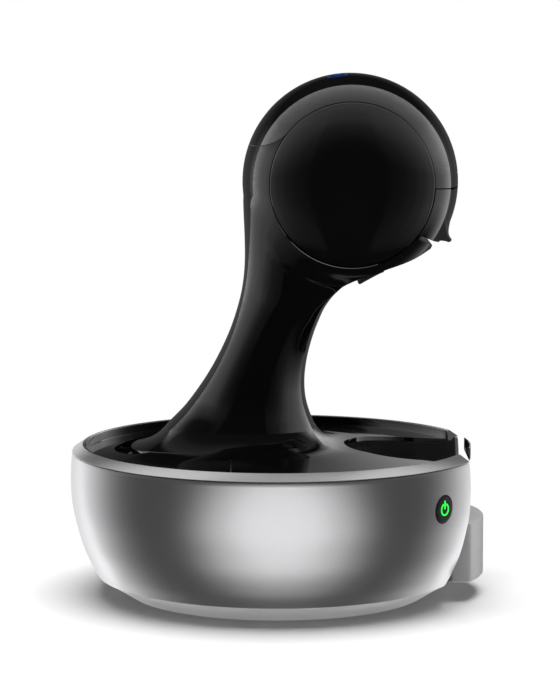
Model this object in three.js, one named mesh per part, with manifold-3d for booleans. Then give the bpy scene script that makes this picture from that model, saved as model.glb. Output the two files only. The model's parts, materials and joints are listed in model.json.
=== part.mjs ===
// Pod coffee machine: a round silver base bowl with a removable horseshoe water tank and a drip tray,
// a waisted column, and a drum-shaped brewing head with a lock handle and a sliding capsule holder.
// Millimetres, +Z up, +X to the machine's front, origin on the bowl's axis at the floor.
import * as THREE from 'three';
import { mergeVertices } from 'three/addons/utils/BufferGeometryUtils.js';
import Module from 'manifold-3d';

const wasm = await Module();
wasm.setup();

// ---------------------------------------------------------------- driving dimensions
const GAP = 0.3;                       // running gap between neighbouring pieces
const BOWL_R = 126.8;                  // widest radius of the bowl
const RIM_TOP = 92.8;                  // top of the rim ring
const RIM_INNER_R = 119.6;             // inner edge of the rim ring
const BOWL_WALL = 2.2;
const FLOOR_Z = 12.4;                  // bottom edge of the bowl skin
const FRONT_ANGLE = THREE.MathUtils.degToRad(24.7);   // half angle of the opening in the bowl's front
const DECK_EDGE_Z = 87.0;              // deck height at its edge
const DECK_MID_Z = 91.2;               // deck height by the column
const DECK_R = 118.6;
const DECK_FLAT_R = 62;                // inside this radius the deck is level
const TANK_FRONT_X = -27;              // seam between the front deck and the tank lid
const WELL = { x: 86, r: 45 };         // round back of the cup well
const HEAD = { x: 44.1, z: 253.1, r: 65.4, ridgeR: 58.7, ridgeY: 40, discR: 48.8, discY: 52.6 };
const SHELL = 2.6;                     // wall of the black covers
const HOLDER_TILT = THREE.MathUtils.degToRad(-26);    // the capsule holder slides forward and down
const SEAM = { x: 82.8, z: 222.6 };    // a point on the seam between lock handle and capsule holder
const HANDLE_PIVOT = { x: 103.1, z: 254.6, barrel: 6.0, halfWidth: 15, pinR: 1.6 };
const HANDLE_SEAM_ANGLE = THREE.MathUtils.degToRad(-2.5);
const BASKET = { s: -13, r: 19.5 };    // capsule basket, s along the slide direction
const GRID_Z = 49;                     // top of the drip grid
const TRAY = { half: 36.8, r: 40, wallX: 113.4, faceX: 116.4, bulge: 10.4, wall: 1.8 };
const BUTTON = { angle: THREE.MathUtils.degToRad(-39.5), z: 65, r: 8.15, out: BOWL_R + 0.6 };
const SCREW = { r: 1.5, headR: 3.2 };  // screws of the base plate
const ICON = { x: 36, y: 14, r: 6 };   // the two touch icons on the hood
const CORD = { y: 30, z: 6.4, r: 3.4 };                // gland of the mains lead
const ROUND = 36;                      // facets of a full turn on the head's round covers
const BOWL_SIDES = 48;                 // facets of a full turn on the base

// ---------------------------------------------------------------- materials
const finishes = {
  silver: [0xc9cbcd, 0.32, 0.85], light: [0xd4d6d8, 0.4, 0.55], gloss: [0x0b0b0d, 0.12, 0.0],
  black: [0x1c1c1e, 0.6, 0.0], rubber: [0x161616, 0.9, 0.0],
  steel: [0xb9bcc0, 0.3, 1.0], clear: [0x6f7f88, 0.1, 0.0],
  board: [0x1d6b3a, 0.6, 0.0], white: [0xe4e4e0, 0.5, 0.0], silicone: [0xd9d5cc, 0.6, 0.0],
  cold: [0x1a7dff, 0.3, 0.0], hot: [0xff3a24, 0.3, 0.0], green: [0x2aff44, 0.3, 0.0],
};
const materialOf = (key) => new THREE.MeshStandardMaterial({
  color: finishes[key][0], roughness: finishes[key][1], metalness: finishes[key][2],
});

// ---------------------------------------------------------------- solids and booleans
function solid(geometry) {
  const bare = geometry.clone();
  bare.deleteAttribute('normal');
  bare.deleteAttribute('uv');
  const merged = mergeVertices(bare, 1e-4);
  return new wasm.Manifold(new wasm.Mesh({
    numProp: 3,
    vertProperties: Float32Array.from(merged.attributes.position.array),
    triVerts: Uint32Array.from(merged.index.array),
  }));
}

function geometryOf(body) {
  const mesh = body.getMesh();
  const geometry = new THREE.BufferGeometry();
  geometry.setAttribute('position', new THREE.BufferAttribute(Float32Array.from(mesh.vertProperties), 3));
  geometry.setIndex(new THREE.BufferAttribute(Uint32Array.from(mesh.triVerts), 1));
  return geometry;
}

const join = (...bodies) => bodies.reduce((a, b) => a.add(b));
const cut = (body, ...tools) => tools.reduce((a, b) => a.subtract(b), body);

function block(x0, x1, y0, y1, z0, z1) {
  const geometry = new THREE.BoxGeometry(x1 - x0, y1 - y0, z1 - z0);
  return solid(geometry.translate((x0 + x1) / 2, (y0 + y1) / 2, (z0 + z1) / 2));
}

// A round bar from one point to another.
function rod(radius, from, to, sides = 20, farRadius = radius) {
  const a = new THREE.Vector3(...from);
  const b = new THREE.Vector3(...to);
  const length = a.distanceTo(b);
  const geometry = new THREE.CylinderGeometry(farRadius, radius, length, sides);
  const turn = new THREE.Quaternion().setFromUnitVectors(
    new THREE.Vector3(0, 1, 0), b.clone().sub(a).normalize());
  geometry.applyQuaternion(turn);
  const middle = a.add(b).multiplyScalar(0.5);
  return solid(geometry.translate(middle.x, middle.y, middle.z));
}

// A closed profile of [radius, z] points turned about the vertical axis.
function turned(profile, sides = BOWL_SIDES) {
  const points = profile.map(([r, z]) => new THREE.Vector2(r, z));
  if (THREE.ShapeUtils.area(points) < 0) points.reverse();
  return solid(new THREE.LatheGeometry(points, sides).rotateX(Math.PI / 2));
}

// A shape in the XY plane raised from z0 to z1.
function raised(shape, z0, z1, curveSegments = 14) {
  const geometry = new THREE.ExtrudeGeometry(shape, { depth: z1 - z0, bevelEnabled: false, curveSegments });
  return solid(geometry.translate(0, 0, z0));
}

// A shape drawn in the XZ plane, made halfWidth thick to each side of the plane Y = y.
function sideSolid(shape, halfWidth, y = 0, curveSegments = 14) {
  const depth = 2 * halfWidth;
  const geometry = new THREE.ExtrudeGeometry(shape, { depth, bevelEnabled: false, curveSegments });
  geometry.rotateX(Math.PI / 2);
  return solid(geometry.translate(0, y + halfWidth, 0));
}

function polygon(points) {
  return new THREE.Shape(points.map(([x, y]) => new THREE.Vector2(x, y)));
}

// A hose of round section along a smooth path.
function tube(points, radius, steps = 20, sides = 6) {
  const shape = new THREE.Shape().absarc(0, 0, radius, 0, 2 * Math.PI);
  const path = new THREE.CatmullRomCurve3(points.map((p) => new THREE.Vector3(...p)));
  return solid(new THREE.ExtrudeGeometry(shape, {
    steps, curveSegments: sides / 2, bevelEnabled: false, extrudePath: path,
  }));
}

// The centre line of a coil spring.
class HelixCurve extends THREE.Curve {
  constructor(radius, pitch, turns) {
    super();
    Object.assign(this, { radius, pitch, turns });
  }

  getPoint(t, target = new THREE.Vector3()) {
    const angle = 2 * Math.PI * this.turns * t;
    const height = this.pitch * this.turns * t;
    return target.set(this.radius * Math.cos(angle), this.radius * Math.sin(angle), height);
  }
}

// A coil spring of round wire that rises from the origin.
function spring(radius, wire, pitch, turns) {
  const shape = new THREE.Shape().absarc(0, 0, wire, 0, 2 * Math.PI);
  const extrudePath = new HelixCurve(radius, pitch, turns);
  return new THREE.ExtrudeGeometry(shape, {
    steps: turns * 9, curveSegments: 2, bevelEnabled: false, extrudePath,
  });
}

// ---------------------------------------------------------------- frames of reference
const slideDir = [Math.cos(HOLDER_TILT), 0, Math.sin(HOLDER_TILT)];
const basketDir = [-slideDir[2], 0, slideDir[0]];
// A point given along the capsule holder's slide direction (s), up its basket axis (n) and across (y).
const headPoint = (s, n, y = 0) => [
  SEAM.x + slideDir[0] * s + basketDir[0] * n, y, SEAM.z + slideDir[2] * s + basketDir[2] * n];
const headFlat = (s, n) => [headPoint(s, n)[0], headPoint(s, n)[2]];
const onBowl = (angle, radius, z) => [radius * Math.cos(angle), radius * Math.sin(angle), z];
const polar = (radius, angle) => [HEAD.x + radius * Math.cos(angle), HEAD.z + radius * Math.sin(angle)];

// ---------------------------------------------------------------- base
// Outside radius of the bowl at some heights, from the rim down to the foot.
const bowlOutside = [
  [126.0, 87.9], [BOWL_R, 72], [125.2, 52], [119.5, 31.4], [110.4, FLOOR_Z],
];
const inset = (profile, amount) => profile.map(([r, z]) => [r - amount, z]);
const closedRing = (outside, wall) => [...outside, ...inset(outside, wall).reverse(), outside[0]];

// The wedge that is open at the front of the bowl and its rim.
function frontWedge(z0, z1) {
  const reach = 2 * BOWL_R;
  const y = reach * Math.tan(FRONT_ANGLE);
  return raised(polygon([[0, 0], [reach, -y], [reach, y]]), z0, z1);
}

function bowlShell() {
  const skin = turned(closedRing(bowlOutside, BOWL_WALL));
  const buttonWay = [110, 135].map((radius) => onBowl(BUTTON.angle, radius, BUTTON.z));
  const buttonHole = rod(BUTTON.r + 0.5, ...buttonWay, 28);
  return cut(skin, frontWedge(0, 100), buttonHole);
}

function rimRing() {
  const profile = [[126, 88.4], [RIM_INNER_R, RIM_TOP], [RIM_INNER_R - 0.6, RIM_TOP - 0.6],
    [RIM_INNER_R - 0.6, 86.0], [121.0, 86.0], [123.2, 88.3], [126, 88.4]];
  return cut(turned(profile), frontWedge(0, 100));
}

// Way of the mains lead through the foot, low at the back.
const cordWay = (radius, x0 = -112, x1 = -80) => rod(radius, [x0, CORD.y, CORD.z], [x1, CORD.y, CORD.z], 16);

function footRing() {
  const ring = turned([[108.6, 11.9], [91.4, 1.0], [87, 1.0], [88, 4.0], [105, 11.9], [108.6, 11.9]]);
  return cut(ring, cordWay(CORD.r + GAP));
}

function basePlate() {
  const plate = turned([[0, 2.4], [85.2, 2.4], [85.2, 4.6], [0, 4.6]], 36);
  const holes = screwPlaces.map(([x, y]) => rod(SCREW.r + 0.4, [x, y, 0], [x, y, 10], 10));
  return cut(plate, ...holes);
}

// Four points evenly spaced on a circle about the base's axis, from a first angle in degrees.
const fourPlaces = (radius, first) => [0, 1, 2, 3].map((i) => {
  const angle = THREE.MathUtils.degToRad(first + 90 * i);
  return [radius * Math.cos(angle), radius * Math.sin(angle)];
});
const tankPort = [-50, 74];
const footPlaces = fourPlaces(72, 45);
const screwPlaces = fourPlaces(70, 0);

function rubberFoot([x, y]) {
  const pad = turned([[0, 0], [8.2, 0], [9, 0.8], [9, 2.1], [0, 2.1]], 14);
  return pad.translate([x, y, 0]);
}

function baseScrew([x, y]) {
  const profile = [[0, 0.9], [SCREW.headR, 0.9], [SCREW.headR, 2.1], [SCREW.r, 2.1], [SCREW.r, 12], [0, 12]];
  return turned(profile, 10).translate([x, y, 0]);
}

// Moulded inner chassis: a floor pan with four screw posts, standing inside the foot ring.
function chassis() {
  const pan = turned([[0, 5.2], [84, 5.2], [100, 12.6], [106, 12.6], [106, 14.4], [99, 14.4], [83, 7.2],
    [0, 7.2]], 36);
  const posts = screwPlaces.map(([x, y]) => rod(4, [x, y, 5.2], [x, y, 13], 12));
  const bores = screwPlaces.map(([x, y]) => rod(SCREW.r + GAP, [x, y, 0], [x, y, 12.4], 10));
  const socketHole = rod(8.4, [...tankPort, 0], [...tankPort, 30], 24);
  return cut(join(pan, ...posts), ...bores, socketHole, cordWay(CORD.r + GAP));
}

// Outline of the cup well: a round back that opens out to the bowl's front opening.
function wellShape(offset) {
  const mouth = onBowl(FRONT_ANGLE, 128, 0);
  const y = mouth[1] - 1.6 + offset;
  const shape = new THREE.Shape();
  shape.moveTo(mouth[0], y);
  shape.lineTo(WELL.x, WELL.r + offset);
  shape.absarc(WELL.x, 0, WELL.r + offset, Math.PI / 2, 1.5 * Math.PI, false);
  shape.lineTo(mouth[0], -y);
  return shape;
}

// Everything inside the bowl's skin, grown smaller by a margin.
function bowlInside(margin, z0, z1) {
  const outside = inset(bowlOutside, BOWL_WALL + margin);
  const core = turned([[0, 100], [outside[0][0], 100], ...outside, [outside.at(-1)[0] - 6, 6], [0, 6]]);
  return core.intersect(block(-140, 140, -140, 140, z0, z1));
}

function wellLiner() {
  const walls = cut(raised(wellShape(0), 15, 85.4), raised(wellShape(-2), 17, 90));
  const frontCut = raised(polygon([[112, -60], [140, -60], [140, 60], [112, 60]]), 10, 95);
  return cut(walls.intersect(bowlInside(GAP, 14, 90)), frontCut);
}

// ---------------------------------------------------------------- column and head covers
// Level sections of the column: height, rear x, front x, half width, squareness.
const columnSections = [
  [85.6, -89.5, 44, 57, 2.2], [89.5, -88, 43, 55, 2.2], [92.6, -81.5, 34, 50, 2.2],
  [96, -75.4, 29, 46.5, 2.2], [102, -69, 24.5, 43, 2.2], [110, -61.3, 20.2, 40.5, 2.3], [122, -51.5, 17.2, 38.5, 2.4],
  [137, -41.3, 17.0, 38, 2.5], [155, -32.2, 20.5, 39, 2.6], [174, -25, 27.5, 41, 2.7],
  [192, -21.2, 42, 44, 2.8], [215, -19.9, 58, 48, 2.9], [HEAD.z, -21.3, 60, 52, 3],
];
const COLUMN_SIDES = 24;

// The column as one loft: a cylinder whose rows take the shape of the level sections.
function column(offset, lowest = columnSections[0][0]) {
  const rows = columnSections.length - 1;
  const geometry = new THREE.CylinderGeometry(1, 1, rows, COLUMN_SIDES, rows).toNonIndexed();
  const place = geometry.attributes.position;
  for (let i = 0; i < place.count; i += 1) {
    const row = Math.round(place.getY(i) + rows / 2);
    const [height, rear, front, half, power] = columnSections[row];
    const angle = Math.atan2(place.getZ(i), place.getX(i));
    const radius = Math.hypot(place.getX(i), place.getZ(i));
    const c = Math.cos(angle);
    const s = Math.sin(angle);
    const reach = radius * (Math.abs(c) ** power + Math.abs(s) ** power) ** (-1 / power);
    const z = row === 0 ? lowest : height;
    const x = (front + rear) / 2 + ((front - rear) / 2 + offset) * c * reach;
    place.setXYZ(i, x, -(half + offset) * s * reach, z);
  }
  return solid(geometry);
}

// The head as a drum turned about a crosswise axis: domed crown, bevel bands and flat sides.
function drum(offset) {
  const side = HEAD.discY + offset;
  const crownSteps = 3;
  const sag = (HEAD.r - HEAD.ridgeR) / HEAD.ridgeY ** 2;
  const crown = [];
  for (let i = -crownSteps; i <= crownSteps; i += 1) {
    const y = (HEAD.ridgeY * i) / crownSteps;
    crown.push([HEAD.r + offset - sag * y * y, y]);
  }
  const seat = HEAD.discR + 0.4 + offset;
  const profile = [[0, -side], [seat, -side], ...crown, [seat, side], [0, side]];
  const points = profile.map(([r, y]) => new THREE.Vector2(r, y));
  return solid(new THREE.LatheGeometry(points, ROUND).translate(HEAD.x, 0, HEAD.z));
}

// Underside of the head from the column forward to the capsule holder's lip.
const chinLine = [[26, 172], [32, 182], [38.5, 188.8], [44.3, 192.6], [52, 194.9], [63.7, 198.7],
  [70.7, 201.2], [78.5, 203.6], [83.5, 206.1], [87.6, 208.5], [91.3, 211.2]];

// All that lies below the chin line, moved down by a margin.
function belowChin(margin) {
  const line = chinLine.map(([x, z]) => [x + 0.35 * margin, z - margin]);
  const ahead = [[150, 160], [150, 206 - margin], [96, 214.4 - margin]];
  return sideSolid(polygon([...ahead, ...line.reverse(), [24, 160]]), 80);
}

// Seam between the hood and the column cover, running from the back of the drum into the disc's circle.
function hoodRegion() {
  const meetAngle = THREE.MathUtils.degToRad(141);
  const meet = polar(HEAD.discR, meetAngle);
  const shape = new THREE.Shape();
  shape.moveTo(-40, 275.2);
  shape.lineTo(-14.5, 275.2);
  shape.bezierCurveTo(-8, 275.2, 0, 278, meet[0], meet[1]);
  shape.absarc(HEAD.x, HEAD.z, HEAD.discR, meetAngle, HANDLE_SEAM_ANGLE, true);
  shape.lineTo(...polar(120, HANDLE_SEAM_ANGLE));
  shape.lineTo(150, 340);
  shape.lineTo(-40, 340);
  return shape;
}

// Side outline of the lock handle, from the hood's seam down to the seam above the capsule holder.
function handleRegion(clear, seamGap, inner) {
  const top = HANDLE_SEAM_ANGLE - clear / HEAD.r;
  const bottom = THREE.MathUtils.degToRad(-37);
  const shape = new THREE.Shape();
  shape.moveTo(...polar(120, top));
  shape.lineTo(...polar(inner, top));
  shape.absarc(HEAD.x, HEAD.z, inner, top, bottom, true);
  shape.lineTo(...headFlat(2.5, seamGap));
  shape.lineTo(...headFlat(60, seamGap));
  return shape;
}

// Side outline of the capsule holder's outer skin, below the handle.
function holderRegion(drop, inner) {
  const meet = THREE.MathUtils.degToRad(-72);
  const shape = new THREE.Shape();
  shape.moveTo(...headFlat(13.2, -drop));
  shape.lineTo(...headFlat(0, -drop));
  shape.absarc(HEAD.x, HEAD.z, inner, THREE.MathUtils.degToRad(-40), meet, true);
  shape.lineTo(...polar(120, meet));
  shape.lineTo(...headFlat(60, -60));
  shape.lineTo(...headFlat(13.2, -3.6));
  return shape;
}

// The covers' shared outside, and the hollow within their wall.
function headShell() {
  const outside = cut(join(drum(0), column(0)), belowChin(0));
  const inside = cut(join(drum(-SHELL), column(-SHELL, 60)), belowChin(-SHELL));
  return { outside, inside };
}

const head = headShell();

function deckPlate() {
  return turned([[0, DECK_MID_Z - SHELL], [DECK_FLAT_R, DECK_MID_Z - SHELL], [DECK_R, DECK_EDGE_Z - SHELL + 0.6],
    [DECK_R, DECK_EDGE_Z], [DECK_FLAT_R, DECK_MID_Z], [0, DECK_MID_Z]]);
}

function bodyShell(side) {
  const seamX = TANK_FRONT_X + 0.4;
  const deck = cut(deckPlate(), block(-140, seamX, -140, 140, 70, 100), raised(wellShape(0.2), 60, 100));
  const shell = cut(join(head.outside, deck), head.inside, block(-140, 140, -140, 140, 0, 84.6));
  const hood = sideSolid(hoodRegion(), 80);
  const handle = sideSolid(handleRegion(-0.6, -8, HEAD.discR - 4), 80);
  const holder = sideSolid(holderRegion(-8, HEAD.discR - 4), 80);
  const discBore = rod(HEAD.discR + 0.2, [HEAD.x, -80, HEAD.z], [HEAD.x, 80, HEAD.z], ROUND);
  const holderWay = orientedBlock(-45, 80, -27.5, 27.5, -45, 3);
  const half = side > 0 ? block(-160, 160, 0.15, 160, 0, 400) : block(-160, 160, -160, -0.15, 0, 400);
  const trimmed = cut(shell, hood, handle, holder, discBore, holderWay);
  return largest(trimmed.intersect(half));
}

// A block in the capsule holder's own directions.
function orientedBlock(s0, s1, y0, y1, n0, n1) {
  return sideSolid(polygon([headFlat(s0, n0), headFlat(s1, n0), headFlat(s1, n1), headFlat(s0, n1)]),
    (y1 - y0) / 2, (y0 + y1) / 2);
}

function largest(body) {
  const pieces = body.decompose();
  return pieces.reduce((a, b) => (a.volume() > b.volume() ? a : b));
}

function sideDisc(side) {
  const y = (r) => 2.6 * (1 - (r / HEAD.discR) ** 2);
  const outer = [48.5, 42, 28, 0].map((r) => [r, HEAD.discY - 0.4 + y(r)]);
  const profile = [[0, HEAD.discY - 3], [44, HEAD.discY - 3], [48.5, HEAD.discY - 2.4], ...outer];
  const points = profile.map(([r, h]) => new THREE.Vector2(r, h));
  const geometry = new THREE.LatheGeometry(points, ROUND);
  if (side < 0) geometry.rotateX(Math.PI);
  return solid(geometry.translate(HEAD.x, 0, HEAD.z));
}

// Lugs moulded inside the hood that hold the ends of the handle's pin.
function hingeLug(side) {
  const p = HANDLE_PIVOT;
  const y = side * (p.halfWidth + 2.6);
  const outline = [[p.x - 12, p.z - 3.4], [p.x + 3.2, p.z - 3.4], [p.x + 6, p.z + 2], [p.x, p.z + 14],
    [p.x - 12, p.z + 14]];
  const bore = rod(p.pinR + GAP, [p.x, y - 4, p.z], [p.x, y + 4, p.z], 16);
  return cut(sideSolid(polygon(outline), 2, y), bore).intersect(drum(-0.4 * SHELL));
}

function hood() {
  const region = sideSolid(hoodRegion(), 80);
  const core = cut(drum(0).intersect(region), drum(-SHELL));
  const { x, z, barrel, halfWidth } = HANDLE_PIVOT;
  const room = halfWidth + 0.4;
  const barrelRoom = rod(barrel + 0.8, [x, -room, z], [x, room, z], 24);
  const below = block(90, 120, -room, room, 240, z);
  const rearTrim = sideSolid(polygon([[-40, 270], [-14, 270], [-14, 275.8], [-40, 275.8]]), 80);
  return largest(join(cut(core, barrelRoom, below, rearTrim), hingeLug(-1), hingeLug(1)));
}

function handlePin() {
  const { x, z, pinR, halfWidth } = HANDLE_PIVOT;
  const end = halfWidth + 4.4;
  return rod(pinR, [x, -end, z], [x, end, z], 16);
}

// The lock handle: a piece of the drum's skin with a flared beak, a hinge barrel at its top.
function lockHandle() {
  const region = sideSolid(handleRegion(0.6, 1.4, HEAD.discR + 0.6), 80);
  const skin = cut(drum(0), drum(-SHELL)).intersect(region);
  const beakShape = new THREE.Shape();
  beakShape.moveTo(...polar(HEAD.r - 0.3, THREE.MathUtils.degToRad(-24)));
  beakShape.quadraticCurveTo(104.2, 221.5, 106.4, 216.0);
  beakShape.lineTo(104.9, 215.1);
  beakShape.quadraticCurveTo(99.5, 217.5, 95.2, 217.7);
  beakShape.lineTo(89.8, 220.5);
  const beak = cut(sideSolid(beakShape, 27), sideSolid(handleLimit(), 40));
  const p = HANDLE_PIVOT;
  const barrel = rod(p.barrel, [p.x, -p.halfWidth, p.z], [p.x, p.halfWidth, p.z], 24);
  const armOutline = [[p.x - 2.5, p.z - 3], [p.x + 5.2, p.z - 3], [p.x + 4.4, p.z - 12], [p.x - 0.5, p.z - 12]];
  const arm = sideSolid(polygon(armOutline), p.halfWidth);
  const bore = rod(p.pinR + 0.35, [p.x, -30, p.z], [p.x, 30, p.z], 16);
  const relief = [[-38, -p.halfWidth - GAP], [p.halfWidth + GAP, 38]].map(([y0, y1]) =>
    rod(6.9, [p.x, y0, p.z], [p.x, y1, p.z], 24));
  return largest(cut(join(cut(join(skin, beak), ...relief), barrel, arm), bore));
}

// Room kept free below the lock handle for the capsule holder's top.
function handleLimit() {
  return polygon([headFlat(-60, 1.2), headFlat(-60, -60), headFlat(14.4, -60), headFlat(14.4, 1.2)]);
}

function capsuleHolder() {
  const outside = cut(drum(0).intersect(sideSolid(holderRegion(1.3, HEAD.discR + 0.6), 80)), belowChin(0));
  const tongue = cut(orientedBlock(-36, 12.8, -26, 26, -40, -1.3), belowChin(0),
    sideSolid(polygon([[20, 150], [headFlat(-36, 0)[0], 150], [headFlat(-36, 0)[0], 260], [20, 260]]), 80));
  const axis = (n) => headPoint(BASKET.s, n);
  const bore = cut(rod(BASKET.r, axis(-40), axis(3), 36), belowChin(-3));
  const outlet = rod(2.6, axis(-60), axis(0), 14);
  return largest(cut(join(outside, tongue), bore, outlet));
}

// Drip guard: a small fin that hangs behind the outlet.
function spoutGuard() {
  return sideSolid(polygon([[48.9, 193.2], [50.6, 190.6], [63.4, 197.6], [60.5, 197.2]]), 9);
}

function injectorPlate() {
  const plate = orientedBlock(-34, 4, -22, 22, 9, 12);
  return cut(plate, rod(1.4, headPoint(BASKET.s, 0), headPoint(BASKET.s, 30), 12));
}

function injectorNeedle() {
  const s = BASKET.s;
  const shaft = rod(1.1, headPoint(s, 3.4), headPoint(s, 21), 10);
  const tip = rod(0.2, headPoint(s, 1.2), headPoint(s, 3.4), 10, 1.1);
  const collar = rod(3, headPoint(s, 12.3), headPoint(s, 15), 10);
  return join(shaft, tip, collar);
}

function injectorSeal() {
  const ring = rod(9, headPoint(BASKET.s, 6.2), headPoint(BASKET.s, 8.7), 28);
  return cut(ring, rod(1.5, headPoint(BASKET.s, 0), headPoint(BASKET.s, 30), 12));
}

// Bracket in the head: two cheek plates beside the capsule holder's tongue, joined by a back bridge.
function headFrame() {
  const near = 28.6;
  const far = 31.2;
  const cheeks = [[-far, -near], [near, far]].map(([y0, y1]) => orientedBlock(-34, -6, y0, y1, -12, 24));
  const bridge = orientedBlock(-34, -24, -far, far, 23, 26);
  return join(...cheeks, bridge);
}

function touchBoard() {
  const pads = [12, -12].map((y) => rod(ICON.r + 0.4, [ICON.x, y, 309.2], [ICON.x, y, 312.2], 20));
  const board = block(ICON.x - 12, ICON.x + 12, -16, 16, 308.2, 310.0);
  return join(board, ...pads.map((pad) => pad.intersect(drum(-SHELL - GAP))));
}

function touchIcon(y) {
  const { x, r } = ICON;
  const ring = cut(rod(r, [x, y, 300], [x, y, 325], 18), rod(r - 0.7, [x, y, 290], [x, y, 330], 18));
  const dot = rod(1.8, [x, y, 300], [x, y, 325], 10);
  const link = block(x - 0.3, x + 0.3, y - r + 0.4, y + r - 0.4, 300, 325);
  return join(ring, dot, link).intersect(cut(drum(0.35), drum(0.05)));
}

// ---------------------------------------------------------------- water tank
// Level outline of the column's foot, grown by a margin: the tank and lid pass around it.
function footprint(margin) {
  const [, rear, front, half, power] = columnSections[0];
  const count = 40;
  const points = [];
  for (let i = 0; i < count; i += 1) {
    const angle = (2 * Math.PI * i) / count;
    const c = Math.cos(angle);
    const s = Math.sin(angle);
    const reach = (Math.abs(c) ** power + Math.abs(s) ** power) ** (-1 / power);
    const x = (front + rear) / 2 + ((front - rear) / 2 + margin) * c * reach;
    points.push([x, (half + margin) * s * reach]);
  }
  return polygon(points);
}

// The water tank's rounded outside between two heights, made smaller by a margin.
function tankOutside(margin, z0, z1) {
  const wall = [[105 - margin, 16], [115 - margin, 36], [117 - margin, 48], [117 - margin, 100]];
  const round = turned([[0, 16], ...wall, [0, 100]]);
  return round.intersect(block(-130, TANK_FRONT_X - 0.6 - margin, -130, 130, z0, z1));
}

function waterTank() {
  const outside = cut(tankOutside(0, 16.2, 84), raised(footprint(1.6), 0, 100));
  const inside = cut(tankOutside(2, 18.2, 90), raised(footprint(3.6), 0, 100));
  const valveHole = rod(3.4, [...tankPort, 10], [...tankPort, 22]);
  return cut(outside, inside, valveHole);
}

// The oval opening behind the column's foot, through which the tank is filled.
const lidOpening = () => {
  const geometry = new THREE.CylinderGeometry(1, 1, 40, 40).rotateX(Math.PI / 2).scale(30, 38.8, 1);
  return solid(geometry.translate(-70.2, 0, 90));
};

function tankLid() {
  const whole = turned([[0, 84.4], [117.4, 84.4], [DECK_R, 85], [DECK_R, DECK_EDGE_Z], [DECK_FLAT_R, DECK_MID_Z],
    [0, DECK_MID_Z]]);
  const hollow = turned([[0, 80], [114.5, 80], [114.5, 84.9], [DECK_FLAT_R, 89], [0, 89]]);
  const region = block(-130, TANK_FRONT_X - 0.2, -130, 130, 70, 100);
  const behind = block(-130, TANK_FRONT_X - 3, -130, 130, 70, 100);
  const underside = cut(hollow, raised(footprint(3.4), 70, 100)).intersect(behind);
  return largest(cut(whole.intersect(region), underside, raised(footprint(0.7), 70, 100), lidOpening()));
}

function tankValve() {
  const [x, y] = tankPort;
  return join(rod(6, [x, y, 19.0], [x, y, 20.4]), rod(2.9, [x, y, 15.4], [x, y, 26], 16));
}

function tankFilter() {
  const [x, y] = tankPort;
  const ring = turned([[9.4, 18.6], [10.6, 18.6], [10.6, 31], [0, 31], [0, 29.6], [9.4, 29.6], [9.4, 18.6]], 20);
  return ring.translate([x, y, 0]);
}

function tankSocket() {
  const [x, y] = tankPort;
  const cup = turned([[0, 9.4], [8, 9.4], [8, 15.6], [5.2, 15.6], [5.2, 11.2], [2, 11.2], [2, 14.8], [0, 14.8]], 20);
  return cup.translate([x, y, 0]);
}

function tankSocketSeal() {
  const [x, y] = tankPort;
  const ring = turned([[3.6, 12.2], [4.9, 12.2], [4.9, 14.4], [3.6, 14.4], [3.6, 12.2]], 20);
  return ring.translate([x, y, 0]);
}

// ---------------------------------------------------------------- drip tray
const trayOutline = (margin) => {
  const half = TRAY.half - margin;
  const shape = new THREE.Shape();
  shape.moveTo(TRAY.wallX, half);
  shape.lineTo(WELL.x, TRAY.r - margin);
  shape.absarc(WELL.x, 0, TRAY.r - margin, Math.PI / 2, 1.5 * Math.PI, false);
  shape.lineTo(TRAY.wallX, -half);
  return shape;
};

function dripTray() {
  const inside = raised(trayOutline(TRAY.wall), 19.6, 50);
  return cut(raised(trayOutline(0), 17.6, 45), inside.intersect(block(-10, TRAY.wallX - TRAY.wall, -60, 60, 0, 60)));
}

// The light face that clips on the front of the drip tray: it curves with the bowl.
function dripTrayFront() {
  const { half, faceX } = TRAY;
  const outline = new THREE.Shape();
  outline.moveTo(faceX - 8.4, -half);
  outline.lineTo(faceX, -half);
  outline.quadraticCurveTo(faceX + 2 * TRAY.bulge, 0, faceX, half);
  outline.lineTo(faceX - 8.4, half);
  const face = raised(outline, 12.2, GRID_Z);
  const roomX = TRAY.wallX + 0.4;
  const room = block(100, roomX, -half + 2.4, half - 2.4, 14, 60);
  return cut(face, room, raised(trayOutline(-GAP), 17, 60).intersect(block(0, roomX, -60, 60, 0, 60)));
}

function dripGrid() {
  const front = TRAY.wallX - 2.4;
  const plate = raised(trayOutline(0.4), 45.4, GRID_Z - 0.4).intersect(block(0, front, -60, 60, 0, 60));
  const slots = [];
  const slotCount = 11;
  for (let i = 0; i < slotCount; i += 1) {
    const y = (i - (slotCount - 1) / 2) * 6;
    const reach = Math.sqrt((TRAY.r - 2) ** 2 - y * y) - 8;
    slots.push(block(WELL.x - reach, 105, y - 1.6, y + 1.6, 40, 60));
  }
  return cut(plate, ...slots);
}

// ---------------------------------------------------------------- power button, in its own frame: +Z points inward
function powerButton() {
  const { r } = BUTTON;
  return turned([[0, 0.6], [5, 0.25], [7.4, 0.6], [r, 1.6], [r, 6], [3, 6], [3, 9.4], [0, 9.4]], 20);
}

function powerIcon() {
  const whole = cut(rod(3.6, [0, 0, -2], [0, 0, 2], 18), rod(2.75, [0, 0, -3], [0, 0, 3], 18));
  const ring = cut(whole, block(-1.3, 1.3, 0.5, 6, -3, 3));
  const bar = block(-0.42, 0.42, 0.6, 4.4, -2, 2);
  const web = block(-0.42, 0.42, -3.2, 0.7, -0.12, 0.08);
  return join(ring, bar, web).intersect(block(-5, 5, -5, 5, -0.12, 0.2));
}

function buttonHousing() {
  const inner = BUTTON.r + 0.4;
  return turned([[inner, 5], [11.4, 5], [11.4, 19.6], [0, 19.6], [0, 17.6], [inner, 17.6], [inner, 5]], 24);
}

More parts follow.
